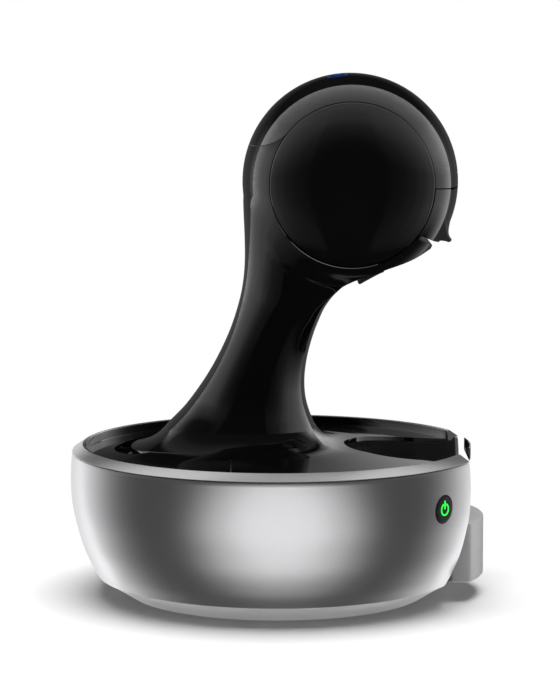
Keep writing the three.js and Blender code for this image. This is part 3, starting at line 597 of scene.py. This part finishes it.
def noise(tree, scale, detail=3.0, stretch=(1, 1, 1)):
    """Noise in object space, in cycles per metre."""
    place = add_node(tree, "TexCoord")
    mapping = add_node(tree, "Mapping", {"Vector": place.outputs["Object"], "Scale": stretch})
    inputs = {"Vector": mapping.outputs["Vector"], "Scale": scale, "Detail": detail}
    return add_node(tree, "TexNoise", inputs).outputs["Fac"]


def spread(tree, value, low, high, start=0.3, stop=0.7):
    """Maps a value from start..stop to low..high."""
    limits = {"From Min": start, "From Max": stop, "To Min": low, "To Max": high}
    return add_node(tree, "MapRange", {"Value": value, **limits}).outputs["Result"]


def tinted(tree, value, dark, light):
    ramp = add_node(tree, "ValToRGB", {"Fac": value})
    for mark, place, colour in zip(ramp.color_ramp.elements, (0.3, 0.7), (dark, light)):
        mark.position = place
        mark.color = (*colour, 1)
    return ramp.outputs["Color"]


def relief(tree, value, height, rounding):
    """The normal of a fine bump, with rounded edges where rounding (in metres) is not zero."""
    bump = add_node(tree, "Bump", {"Height": value, "Strength": 1.0, "Distance": height})
    if rounding:
        edge = add_node(tree, "Bevel", {"Radius": rounding}, samples=6)
        feed(tree, bump, {"Normal": edge.outputs["Normal"]})
    return bump.outputs["Normal"]


def finish_material(name, dark, light, rough, grain, height, metallic=0.0, rounding=0.0, stretch=(1, 1, 1)):
    """A finish whose colour, roughness and relief all vary with its grain."""
    made, tree, shader = node_material(name)
    fine = noise(tree, grain, 4.0, stretch)
    broad = noise(tree, grain / 18, 2.0)
    feed(tree, shader, {
        "Base Color": tinted(tree, broad, dark, light), "Roughness": spread(tree, broad, *rough),
        "Normal": relief(tree, fine, height, rounding), "Metallic": metallic})
    return made


def glowing(name, colour, strength):
    made, tree, shader = node_material(name)
    shade = tinted(tree, noise(tree, 900), [0.85 * c for c in colour], colour)
    glow = {"Emission Color": shade, "Emission Strength": strength}
    feed(tree, shader, {"Base Color": shade, "Roughness": 0.35, **glow})
    return made


def clear_plastic(name):
    made = finish_material(name, (0.42, 0.46, 0.5), (0.5, 0.54, 0.58), (0.06, 0.14), 300, 2e-5)
    shader = made.node_tree.nodes["Principled BSDF"]
    feed(made.node_tree, shader, {"Transmission Weight": 0.85, "IOR": 1.49})
    return made


def all_materials():
    plain = finish_material
    made = [
        plain("gloss_black", (0.0013, 0.0013, 0.0015), (0.002, 0.002, 0.0023), (0.045, 0.085), 260, 2e-6),
        plain("satin_bowl", (0.668, 0.668, 0.68), (0.683, 0.683, 0.695), (0.29, 0.305), 9000, 8e-7,
              metallic=0.97),
        plain("light_metal", (0.65, 0.65, 0.66), (0.67, 0.67, 0.68), (0.4, 0.43), 6000, 2e-6,
              metallic=0.3),
        plain("black_plastic", (0.012, 0.012, 0.013), (0.02, 0.02, 0.022), (0.42, 0.56), 1500, 4e-5,
              rounding=0.0004),
        plain("white_plastic", (0.72, 0.72, 0.69), (0.8, 0.8, 0.77), (0.4, 0.5), 1200, 2e-5),
        plain("steel", (0.5, 0.5, 0.51), (0.62, 0.62, 0.63), (0.2, 0.34), 2600, 1e-5,
              metallic=1.0, rounding=0.0003, stretch=(1, 12, 12)),
        plain("cast_heater", (0.42, 0.42, 0.42), (0.55, 0.55, 0.55), (0.45, 0.6), 900, 1e-4, metallic=0.9),
        plain("rubber", (0.012, 0.012, 0.012), (0.022, 0.022, 0.022), (0.7, 0.85), 1800, 6e-5),
        plain("silicone", (0.66, 0.64, 0.6), (0.74, 0.72, 0.68), (0.35, 0.5), 700, 2e-5),
        plain("board", (0.01, 0.12, 0.05), (0.02, 0.18, 0.07), (0.3, 0.5), 1400, 4e-5),
        clear_plastic("smoked_clear"),
        glowing("icon_cold", (0.005, 0.05, 0.3), 0.5),
        glowing("icon_hot", (0.3, 0.02, 0.008), 0.5),
        glowing("icon_power", (0.02, 0.8, 0.06), 1.2),
    ]
    return {material["slot"]: material for material in made}


SHARP = {"gloss_black": 9}  # edges that turn by more than this angle stay crisp, in degrees
materials = all_materials()
SLOT_OF = {row["node"]: row["material_slot"] for row in frame["record"]["subparts"]}
BODY_OF = {node: body for body, nodes in frame["record"]["behaviour"]["bodies"].items() for node in nodes}
built = []


def stand_for(made, node):
    """The finished piece replaces a CAD node, rides with it and takes its finish."""
    finish = SLOT_OF[node]
    made.data.materials.clear()
    made.data.materials.append(materials[finish])
    made.data.shade_smooth()
    made.data.set_sharp_from_angle(angle=math.radians(SHARP.get(finish, 25)))
    made.name = node + "_fine"
    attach(made, BODY_OF[node])
    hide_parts(node)
    built.append(made)


# ---------------- base
BOWL_CURVE = [(12.4, 110.6), (18.9, 114.4), (25.2, 117.4), (31.4, 119.9), (44, 123.5), (56.5, 126.0),
              (68, BOWL_R), (80, 126.6), (BOWL_TOP, 126.0)]


def bowl_radius(z):
    return smooth_curve(BOWL_CURVE, z)


def front_wedge(high):
    """The opening in the front of the bowl and its rim."""
    far = 190.0
    side = far * math.tan(FRONT_ANGLE)
    return prism("wedge", [(0, 0), (far, -side), (far, side)], 0, high)


def make_bowl():
    z = np.linspace(BOWL_BOTTOM, BOWL_TOP, 60)
    outside = [(bowl_radius(a) - 0.35 * max(0, 1 - (BOWL_TOP - a) / 0.8) ** 2, a) for a in z]
    inside = [(bowl_radius(a) - 2.2, a) for a in z[::-3]]
    bowl = lathe("bowl", outside + inside, sides=288)
    ends = [(-PRESS_X * reach, -PRESS_Y * reach, BUTTON_Z) for reach in (105, 150)]
    combine(bowl, [front_wedge(100), cylinder_tool("hole", BUTTON_R + 0.45, *ends)])
    stand_for(bowl, "bowl_shell")


def make_rim():
    top = [(126.0, 88.45), (125.86, 88.75), (120.0, RIM_TOP - 0.16), (119.6, RIM_TOP)]
    inside = [(119.2, RIM_TOP - 0.2), (119.0, RIM_TOP - 0.8), (119.0, 86.0)]
    under = [(121.0, 86.0), (123.2, 88.2), (125.6, 88.3)]
    rim = lathe("rim", top + inside + under, sides=288)
    combine(rim, [front_wedge(110)])
    stand_for(rim, "rim_ring")


def make_foot_ring():
    outside = [(108.6, 11.9), (108.0, 11.3), (92.4, 1.5), (91.6, 1.05), (90.8, 1.0)]
    ring = lathe("foot", outside + [(87, 1.0), (88, 4.0), (105, 11.9)], sides=192)
    gland = middle_of("cord_gland")[1:]
    combine(ring, [cylinder_tool("way", 3.7, (-112, *gland), (-80, *gland))])
    stand_for(ring, "foot_ring")


def make_feet():
    profile = [(0, 0), (7.6, 0), (8.5, 0.3), (9, 1.0), (9, 2.1), (0, 2.1)]
    for i in range(1, 5):
        node = f"rubber_foot_{i}"
        stand_for(lathe("foot", profile, sides=48, centre=middle_of(node)[:2]), node)


def make_well_liner():
    wall = prism("liner", well_outline(0), 15, 85.4)
    room = prism("room", well_outline(-2), 17, 120)
    z = np.linspace(14.2, 86, 24)
    inside = lathe("inside", [(0, 14.2)] + [(bowl_radius(a) - 2.6, a) for a in z] + [(0, 86)], sides=160)
    combine(wall, [inside], "INTERSECT")
    front = prism("front", rect(112, -70, 150, 70), 0, 100)
    combine(wall, [room, front])
    stand_for(wall, "well_liner")


# ---------------- black covers
def make_covers():
    outer = body_solid("outer", 0.0, 84.6, lip=LIP)
    inner = body_solid("inner", -SKIN, 40.0, step=3.0, near_ridge=8, between=28, turns=36)
    make_body_shells(outer, inner)
    make_hood(outer, inner)
    make_lock_handle(outer, inner)
    make_capsule_holder(outer)
    make_tank_lid(outer)
    for tool in (outer, inner):
        bpy.data.objects.remove(tool)


def lid_region(grow, low, high):
    """The deck behind the lid's front edge and around the column's foot, grown on both sides."""
    front = LID_FRONT_X + grow
    region = prism("lid", rect(-160, -160, front, 160), low, high)
    return combine(region, [prism("foot", foot_outline(0.7 - grow), low - 10, high + 10)])


def make_body_shells(outer, inner):
    ends = [(HEAD_X, y, HEAD_Z) for y in (-90, 90)]
    bore = cylinder_tool("bore", DISC_R + DISC_GAP, *ends, sides=200)
    back, top = TONGUE_BACK - 0.5, slide_point(TONGUE_REAR, 3)
    way = [(back, 150), (190, 150), slide_point(80, 3), top, (back, top[1])]
    rooms = [side_slab("hood", hood_outline(0)),
             side_slab("handle", handle_outline(-0.5, -8, DISC_R - 4)),
             side_slab("holder", holder_outline(-8, DISC_R - 4)),
             bore,
             side_slab("way", way, TONGUE_HALF + 1.5),
             prism("well", well_outline(0.2), 60, 110),
             lid_region(0.4, 70, 102)]
    for side, node in ((-1, "body_shell_left"), (1, "body_shell_right")):
        half = part_of(outer, prism("half", rect(-200, side * 0.1, 200, side * 200), 0, 400))
        combine(half, [inner] + rooms, keep_tools=True)
        stand_for(half, node)
    for tool in rooms:
        bpy.data.objects.remove(tool)


def pivot_cylinder(name, radius, left, right, sides):
    """A cylinder about the lock handle's hinge."""
    return cylinder_tool(name, radius, (PIVOT_X, left, PIVOT_Z), (PIVOT_X, right, PIVOT_Z), sides)


def make_hood(outer, inner):
    hood = part_of(outer, side_slab("hood", hood_outline(SEAM)))
    half = KNUCKLE_HALF + 0.4
    room = pivot_cylinder("room", 7.3, -half, half, sides=64)
    below = prism("below", rect(88, -half, 130, half), 235, PIVOT_Z)
    combine(hood, [inner], keep_tools=True)
    combine(hood, [room, below])
    stand_for(hood, "hood")


def make_beak():
    """The handle's flared lower edge: its crown and its sides carry on from the handle's own."""
    start = polar(HEAD_R - 0.5, math.radians(-19))
    outside = bezier([start, (104.2, 224.0), (102.6, 222.0), (105.7, 218.2)], 28)
    tip = bezier([(105.7, 218.2), (105.7, 217.0), (104.1, 216.9)], 6)
    inside = bezier([(104.1, 216.9), (101.0, 218.6), (97.6, 217.6), (94.6, 218.4)], 16)
    root = [slide_point(7.4, 1.7), polar(RIDGE_R - 1, math.radians(-32))]
    outline = outside + tip[1:] + inside[1:] + root
    loops = []
    for share in np.linspace(-1, 1, 29):
        loop = []
        for x, z in outline:
            radius = math.hypot(x - HEAD_X, z - HEAD_Z)
            flare = ease(-math.degrees(math.atan2(z - HEAD_Z, x - HEAD_X)), 19, 31)
            sunk = (HEAD_R - RIDGE_R) * (1 - 0.62 * flare) * share * share
            turn = (radius - sunk) / radius
            width = RIDGE_Y - 0.75 * max(radius - sunk - RIDGE_R, 0)
            loop.append((HEAD_X + (x - HEAD_X) * turn, share * width, HEAD_Z + (z - HEAD_Z) * turn))
        loops.append(loop)
    return loft("beak", loops)


def make_lock_handle(outer, inner):
    skin = part_of(outer, side_slab("skin", handle_outline(SEAM, 1.4, HANDLE_INNER_R)))
    block = side_slab("knuckle", rect(98, 244, 130, PIVOT_Z - 0.4), KNUCKLE_HALF)
    combine(skin, [part_of(outer, block)], "UNION")
    combine(skin, [inner], keep_tools=True)
    for radius, near, far in ((6.0, 15.3, 20.4), (5.2, 20.4, 38)):
        combine(skin, [pivot_cylinder("relief", radius, near, far, sides=64),
                       pivot_cylinder("relief", radius, -far, -near, sides=64)])
    barrel = pivot_cylinder("barrel", 6.8, -KNUCKLE_HALF, KNUCKLE_HALF, sides=96)
    arm = [(PIVOT_X + x, PIVOT_Z + z) for x, z in ((-2.5, -3), (5.2, -3), (4.4, -12), (-0.5, -12))]
    combine(barrel, [outer], "INTERSECT", keep_tools=True)
    combine(skin, [make_beak(), barrel, side_slab("arm", arm, KNUCKLE_HALF)], "UNION")
    combine(skin, [pivot_cylinder("bore", 1.95, -40, 40, sides=32)])
    stand_for(skin, "lock_handle")


def basket_axis(n):
    """A point on the capsule basket's axis, n up from the holder's seam."""
    x, z = slide_point(BASKET_PLACE, n)
    return (x, 0, z)


def make_capsule_holder(outer):
    holder = part_of(outer, side_slab("holder", holder_outline(1.3, HANDLE_INNER_R)))
    corners = rect(TONGUE_REAR, -40, TONGUE_NOSE, -1.3)
    tongue = side_slab("tongue", [slide_point(*corner) for corner in corners], TONGUE_HALF)
    combine(tongue, [side_slab("rear", rect(0, 150, TONGUE_BACK, 260), 60)])
    combine(tongue, [outer], "INTERSECT", keep_tools=True)
    combine(holder, [tongue], "UNION")
    basket = cylinder_tool("basket", 19.5, basket_axis(-42), basket_axis(6), sides=96)
    combine(basket, [below_chin(3.0)])
    combine(holder, [basket, cylinder_tool("outlet", 2.6, basket_axis(-60), basket_axis(0), sides=32)])
    stand_for(holder, "capsule_holder")


def make_tank_lid(outer):
    lid = part_of(outer, lid_region(-0.2, 84.4, 99))
    hollow = lathe("hollow", [(0, 80), (114.5, 80), (114.5, 84.9), (62, 89), (0, 89)], sides=120)
    front = rect(LID_FRONT_X - 3, -160, 50, 160)
    for outline in (foot_outline(3.4), front, fill_outline(2)):
        combine(hollow, [prism("wall", outline, 60, 110)])
    combine(lid, [prism("opening", fill_outline(0), 60, 120), hollow])
    stand_for(lid, "tank_lid")


def make_side_discs():
    radius = np.concatenate([np.linspace(0, DISC_R - 0.4, 48), DISC_R - np.array([0.2, 0.1, 0])])
    rise = side_height(radius) - 0.22 * ease(radius, DISC_R - 0.4, DISC_R) ** 2
    edge = rise[-1]
    back = [(DISC_R, edge - 5.2), (DISC_R + 2.4, edge - 5.2), (DISC_R + 2.4, edge - 6.4), (0, edge - 6.4)]
    profile = list(zip(radius, rise)) + back
    for side, node in ((-1, "side_disc_left"), (1, "side_disc_right")):
        stand_for(lathe("disc", profile, sides=200, centre=(HEAD_X, HEAD_Z), axis="Y", side=side), node)


def make_spout_guard():
    low, high = size_of("spout_guard")
    top = [(low[0] - 1.0, low[2] + 4.0), (low[0] + 0.2, low[2] + 0.6)]
    tip = bezier([(low[0] + 0.2, low[2] + 0.6), (low[0] + 0.6, low[2]), (low[0] + 1.6, low[2] + 0.3)], 6)
    rear = (high[0] + 1.2, high[2] + 0.6)
    lower = bezier([(low[0] + 1.6, low[2] + 0.3), (56, 194.0), (61, 196.9), rear], 16)
    inside = [(high[0] + 1.5, high[2] + 2.6), (low[0] + 4, low[2] + 5.4)]
    fin = prism("fin", top[:1] + tip + lower[1:] + inside, low[1], high[1], plane="XZ")
    stand_for(rounded(fin, 0.35, angle=50, segments=2), "spout_guard")


# ---------------- touch icons and power button
def crown_drop(middle, y):
    """A small drop and ring that lie on the crown."""
    ring = lathe("ring", rect(5.7, 290, 6.0, 330), sides=72, centre=(middle, y))
    t = np.linspace(0, 2 * math.pi, 41)[:-1]
    width = 1.1 * np.sin(t) * np.sin(t / 2) ** 1.4
    drop = prism("drop", np.column_stack([middle - 1.9 * np.cos(t), y + width]), 290, 330)
    combine(ring, [drop], "UNION")
    return combine(ring, [crown_slab(0.16, 0.02)], "INTERSECT")


def crown_slab(top, bottom):
    """A thin layer over the crown, between two heights above it."""
    y = np.linspace(-30, 30, 61)
    upper = [(crown_radius(a) + top, a) for a in y]
    lower = [(crown_radius(a) + bottom, a) for a in y[::-1]]
    return lathe("slab", upper + lower, sides=360, centre=(HEAD_X, HEAD_Z), axis="Y")


def make_touch_icons():
    for node in ("cold_touch_icon", "hot_touch_icon"):
        stand_for(crown_drop(*middle_of(node)[:2]), node)


def place_on_button(made):
    """Moves a piece from the button's own frame, where +Z points into the bowl, to the object's frame."""
    axes = np.array([[-PRESS_Y, PRESS_X, 0], [0, 0, 1], [PRESS_X, PRESS_Y, 0]])
    face = np.array([-PRESS_X * (BOWL_R + 0.6), -PRESS_Y * (BOWL_R + 0.6), BUTTON_Z]) * MM
    place = np.empty(len(made.data.vertices) * 3)
    made.data.vertices.foreach_get("co", place)
    moved = place.reshape(-1, 3) @ axes + face
    made.data.vertices.foreach_set("co", moved.ravel())
    made.data.update()
    turn_outward(made.data)
    return made


def make_button():
    r = BUTTON_R
    face = [(0, 0.5), (4.5, 0.42), (6.6, 0.4), (r - 1.1, 0.5), (r - 0.5, 0.75), (r - 0.12, 1.2), (r, 1.8)]
    cap = lathe("cap", face + [(r, 6), (3, 6), (3, 9.4), (0, 9.4)], sides=96)
    stand_for(place_on_button(cap), "power_button")
    ring = lathe("ring", rect(2.9, 0.1, 3.75, 0.46), sides=96)
    gap = prism("gap", rect(-1.3, 0.4, 1.3, 6), -2, 3)
    combine(ring, [gap])
    bar = prism("bar", rect(-0.5, 0.2, 0.5, 5.2), 0.1, 0.46)
    combine(ring, [bar], "UNION")
    stand_for(place_on_button(ring), "power_icon")


# ---------------- drip tray
TRAY_WALL_X = 104.4  # where the tray's dark wall gives way to its light front
SLOT_COUNT, SLOT_PITCH, SLOT_R, SLOT_FRONT_X = 11, 6.0, 1.6, 103.4  # the grid's slots


def tray_outline(margin, front=TRAY_WALL_X):
    half = TRAY_FRONT_HIGH[1] - margin
    radius = WELL_R - 5 - margin
    return [(front, half)] + arc((WELL_X, 0), radius, math.pi / 2, 1.5 * math.pi, 64) + [(front, -half)]


def make_tray():
    low = TRAY_LOW[2]
    tray = rounded(prism("tray", tray_outline(0), low, TRAY_HIGH[2]), 0.8)
    room = prism("room", tray_outline(1.8, front=TRAY_WALL_X - 2), low + 2, 60)
    combine(tray, [rounded(room, 1.5)])
    stand_for(tray, "drip_tray")


def make_tray_front():
    """The tray's front: a bulging face with rounded edges, and a fine groove at each side return."""
    nose, half, top = TRAY_FRONT_HIGH
    bottom = TRAY_FRONT_LOW[2]
    corner = 116.4
    y = np.linspace(-half, half, 49)
    bulge = [(corner + (nose - corner) * (1 - (b / half) ** 2), b) for b in y]
    back = TRAY_WALL_X + 0.2
    face = prism("face", bulge + [(back, half), (back, -half)], bottom, top)
    rounded(face, 2.2, angle=50, segments=6)
    inner = half - 2.4
    combine(face, [prism("room", rect(100, -inner, 113.8, inner), 14, 60)])
    for side in (-1, 1):
        near, far = side * (half - 0.35), side * (half + 2)
        combine(face, [prism("groove", rect(115.9, near, 116.3, far), 0, 70)])
    stand_for(face, "drip_tray_front")


def make_grid():
    plate = prism("plate", tray_outline(0.4, front=111), GRID_LOW[2], GRID_HIGH[2])
    rounded(plate, 0.6)
    slots = []
    for i in range(SLOT_COUNT):
        y = (i - (SLOT_COUNT - 1) / 2) * SLOT_PITCH
        reach = math.sqrt(38 ** 2 - y * y) - 8
        rear = arc((WELL_X - reach + SLOT_R, y), SLOT_R, math.pi / 2, 1.5 * math.pi, 9)
        front = arc((SLOT_FRONT_X, y), SLOT_R, -math.pi / 2, math.pi / 2, 9)
        slots.append(prism("slot", rear + front, 30, 70))
    combine(plate, slots)
    stand_for(plate, "drip_grid")


# ---------------- carried-over CAD nodes
def dress_cad_nodes():
    for name, node in frame["nodes"].items():
        node.data.materials.clear()
        node.data.materials.append(materials[SLOT_OF[name]])


# ---------------- studio
def make_floor():
    """A pale floor that turns to plain white away from the object."""
    size = 9000.0
    corners = [(-size, -size, 0), (size, -size, 0), (size, size, 0), (-size, size, 0)]
    floor = new_object("floor", corners, [[0, 1, 2, 3]])
    made, tree, shader = node_material("floor")
    shade = tinted(tree, noise(tree, 3), (0.88, 0.88, 0.88), (0.9, 0.9, 0.9))
    feed(tree, shader, {"Base Color": shade, "Roughness": 0.9, "Specular IOR Level": 0.0})
    place = add_node(tree, "TexCoord")
    length = add_node(tree, "VectorMath", {0: place.outputs["Object"]}, operation="LENGTH")
    away = spread(tree, length.outputs["Value"], 0.0, 1.0, start=0.15, stop=0.36)
    white = add_node(tree, "Emission")
    ends = {1: shader.outputs["BSDF"], 2: white.outputs["Emission"]}
    mix = add_node(tree, "MixShader", {"Fac": away, **ends})
    feed(tree, tree.nodes["Material Output"], {"Surface": mix.outputs["Shader"]})
    floor.data.materials.append(made)
    floor.visible_glossy = False


def soft_light(name, azimuth, elevation, distance, size, radiance,
               only=None, seen_in_gloss=True, oval=False):
    """A softbox that faces the bowl. Azimuth 0 is the camera's side, and +90 is the cup's side."""
    data = bpy.data.lights.new(name, "AREA")
    data.shape = "ELLIPSE" if oval else "RECTANGLE"
    data.size, data.size_y = size
    area = size[0] * size[1] * (math.pi / 4 if oval else 1)
    data.energy = math.pi * area * radiance
    light = bpy.data.objects.new(name, data)
    bpy.context.scene.collection.objects.link(light)
    turn, rise = math.radians(azimuth), math.radians(elevation)
    toward = Vector((math.sin(turn) * math.cos(rise), -math.cos(turn) * math.cos(rise), math.sin(rise)))
    light.location = toward * distance + Vector((0, 0, 0.055))
    light.rotation_euler = toward.to_track_quat("Z", "Y").to_euler()
    light.visible_glossy = seen_in_gloss
    if only:
        light.light_linking.receiver_collection = only
        light.light_linking.blocker_collection = only
    return light


def receivers(name, nodes):
    """The pieces that a linked light shines on."""
    group = bpy.data.collections.new(name)
    for piece in built:
        if piece.name.removesuffix("_fine") in nodes:
            group.objects.link(piece)
    return group


# How bright the studio is, from the camera's side (0) to straight behind the object (1).
ABOVE = [(0.0, 0.03), (0.2, 0.04), (0.45, 0.07), (0.6, 0.18), (0.7, 0.2), (0.78, 0.008), (0.92, 0.008),
         (1.0, 0.1)]
BELOW = [(0.0, 0.02), (0.3, 0.03), (0.48, 0.04), (0.54, 0.12), (0.6, 0.35), (0.68, 0.8), (0.74, 0.9),
         (0.79, 0.35), (0.84, 0.1), (1.0, 0.08)]
SIDE_PANEL = [(0.04, 0.0), (0.1, 0.05), (0.15, 0.13), (0.2, 0.28), (0.256, 0.6), (0.33, 0.95),
              (0.47, 1.25), (0.61, 1.5), (0.68, 1.45), (0.72, 0.5), (0.76, 0.0)]
BEHIND_PANEL = [(0.47, 0.0), (0.5, 0.15), (0.55, 0.7), (0.62, 1.3), (0.74, 1.6), (0.9, 0.0)]
TOP_PANEL = [(0.04, 0.0), (0.1, 0.2), (0.17, 0.45), (0.24, 0.75), (0.32, 1.0), (0.5, 1.35), (0.62, 1.5),
             (0.69, 1.45), (0.73, 0.4), (0.76, 0.0)]


# Ovals before the bowl, one inside the other: elevation, distance, size in metres and radiance.
FRONT_LIGHTS = [("front_core", -18, 1.3, (1.25, 1.15), 0.46),
                ("front_middle", -20, 1.35, (2.2, 1.8), 0.46),
                ("front_wide", -23, 1.4, (3.2, 2.6), 0.22)]


def brightness_ramp(tree, share, stops, peak):
    ramp = add_node(tree, "ValToRGB", {"Fac": share})
    ramp.color_ramp.interpolation = "EASE"
    marks = ramp.color_ramp.elements
    while len(marks) < len(stops):
        marks.new(0.5)
    for mark, (where, level) in zip(marks, stops):
        mark.position = where
        mark.color = (level / peak,) * 3 + (1,)
    return ramp.outputs["Color"]


def turn_share(tree, y):
    """The angle from the camera's side as a share of a half turn, from a direction's Y."""
    angle = add_node(tree, "Math", {0: y}, operation="ARCCOSINE")
    scaled = {0: angle.outputs[0], 1: -1 / math.pi, 2: 1.0}
    return add_node(tree, "Math", scaled, operation="MULTIPLY_ADD").outputs[0]


def make_world():
    world = bpy.data.worlds.new("studio")
    bpy.context.scene.world = world
    world.use_nodes = True
    tree = world.node_tree
    tree.nodes.clear()
    place = add_node(tree, "TexCoord")
    split = add_node(tree, "SeparateXYZ", {"Vector": place.outputs["Generated"]})
    share = turn_share(tree, split.outputs["Y"])
    peak = max(level for _, level in ABOVE + BELOW)
    ends = {"A": brightness_ramp(tree, share, BELOW, peak), "B": brightness_ramp(tree, share, ABOVE, peak)}
    rise = spread(tree, split.outputs["Z"], 0.0, 1.0, start=0.05, stop=0.35)
    blend = add_node(tree, "Mix", {"Factor": rise, **ends}, data_type="RGBA")
    soft = add_node(tree, "Background", {"Color": blend.outputs["Result"], "Strength": peak})
    white = add_node(tree, "Background", {"Color": (1, 1, 1, 1)})
    rays = add_node(tree, "LightPath")
    ends = {1: soft.outputs["Background"], 2: white.outputs["Background"]}
    mix = add_node(tree, "MixShader", {"Fac": rays.outputs["Is Camera Ray"], **ends})
    add_node(tree, "OutputWorld", {"Surface": mix.outputs["Shader"]})


def shade_panel(light, stops, fades, along="Y"):
    """Gives a panel its brightness in each direction from the head, fading in and out with height."""
    light.data.use_nodes = True
    tree = light.data.node_tree
    place = add_node(tree, "NewGeometry")
    ends = {0: place.outputs["Position"], 1: (HEAD_X * MM, 0, HEAD_Z * MM)}
    offset = add_node(tree, "VectorMath", ends, operation="SUBTRACT")
    unit = add_node(tree, "VectorMath", {0: offset.outputs["Vector"]}, operation="NORMALIZE")
    split = add_node(tree, "SeparateXYZ", {"Vector": unit.outputs["Vector"]})
    peak = max(level for _, level in stops)
    shade = brightness_ramp(tree, turn_share(tree, split.outputs[along]), stops, peak)
    strength = 1.0
    for start, stop, low, high in fades:
        ends = {0: strength, 1: spread(tree, split.outputs["Z"], low, high, start=start, stop=stop)}
        strength = add_node(tree, "Math", ends, operation="MULTIPLY").outputs[0]
    feed(tree, tree.nodes["Emission"], {"Color": shade, "Strength": strength})
    light.data.energy *= peak


def make_lights():
    bowl = receivers("bowl_only", ["bowl_shell", "rim_ring", "foot_ring"])
    shells = ["body_shell_left", "body_shell_right"]
    discs = ["side_disc_left", "side_disc_right"]
    head_nodes = ["hood", "lock_handle", "capsule_holder", "spout_guard"] + discs
    head = receivers("head_only", head_nodes)
    covers = receivers("covers", head_nodes + shells)
    for name, elevation, distance, size, radiance in FRONT_LIGHTS:
        soft_light(name, 1.5, elevation, distance, size, radiance, only=bowl, oval=True)
    soft_light("above_bowl", 0, 90, 1.5, (2.4, 2.4), 0.24, only=bowl)
    for side in (-1, 1):
        soft_light("behind_bowl", side * 152, -8, 1.6, (1.3, 1.5), 0.85, only=bowl)
        soft_light("beside_bowl", side * 112, 50, 1.5, (1.5, 1.2), 0.4, only=bowl)
    soft_light("overhead", 0, 88, 1.9, (1.8, 1.8), 6.0, seen_in_gloss=False)
    side_fades = [(-0.6, -0.27, 0.0, 1.0), (0.3, 0.6, 1.0, 0.0)]
    for name, azimuth in (("side_left", -90), ("side_right", 90)):
        panel = soft_light(name, azimuth, 0, 1.5, (16.0, 10.0), 1.0, only=covers)
        panel.location.z += (HEAD_Z - 55) * MM
        shade_panel(panel, SIDE_PANEL, side_fades)
    top = soft_light("top", 0, 90, 1.0, (24.0, 24.0), 1.0, only=head)
    shade_panel(top, TOP_PANEL, [(0.02, 0.48, 0.0, 1.0)])
    deck = receivers("deck", shells + ["tank_lid"])
    behind = soft_light("behind", 180, 8, 1.5, (9.0, 3.0), 1.0, only=deck)
    shade_panel(behind, BEHIND_PANEL, [(-0.12, -0.02, 0.0, 1.0), (0.3, 0.5, 1.0, 0.0)], along="X")


CAMERA_PLACE = (0.00153, -1.58686, 0.3345)  # in metres
CAMERA_DIP = 0.116  # how far the camera looks down, in radians
CAMERA_LENS, CAMERA_SENSOR = 134.16, 36


def make_camera():
    data = bpy.data.cameras.new("camera")
    data.sensor_width = CAMERA_SENSOR
    data.lens = CAMERA_LENS
    data.clip_start, data.clip_end = 0.05, 60
    camera = bpy.data.objects.new("camera", data)
    bpy.context.scene.collection.objects.link(camera)
    camera.location = CAMERA_PLACE
    camera.rotation_euler = (math.pi / 2 - CAMERA_DIP, 0, 0)
    bpy.context.scene.camera = camera


# ---------------- assembly
make_camera()
dress_cad_nodes()
make_bowl()
make_rim()
make_foot_ring()
make_feet()
make_well_liner()
make_covers()
make_side_discs()
make_spout_guard()
make_touch_icons()
make_button()
make_tray()
make_tray_front()
make_grid()
make_floor()
make_world()
make_lights()
bpy.context.scene.view_settings.view_transform = "Standard"
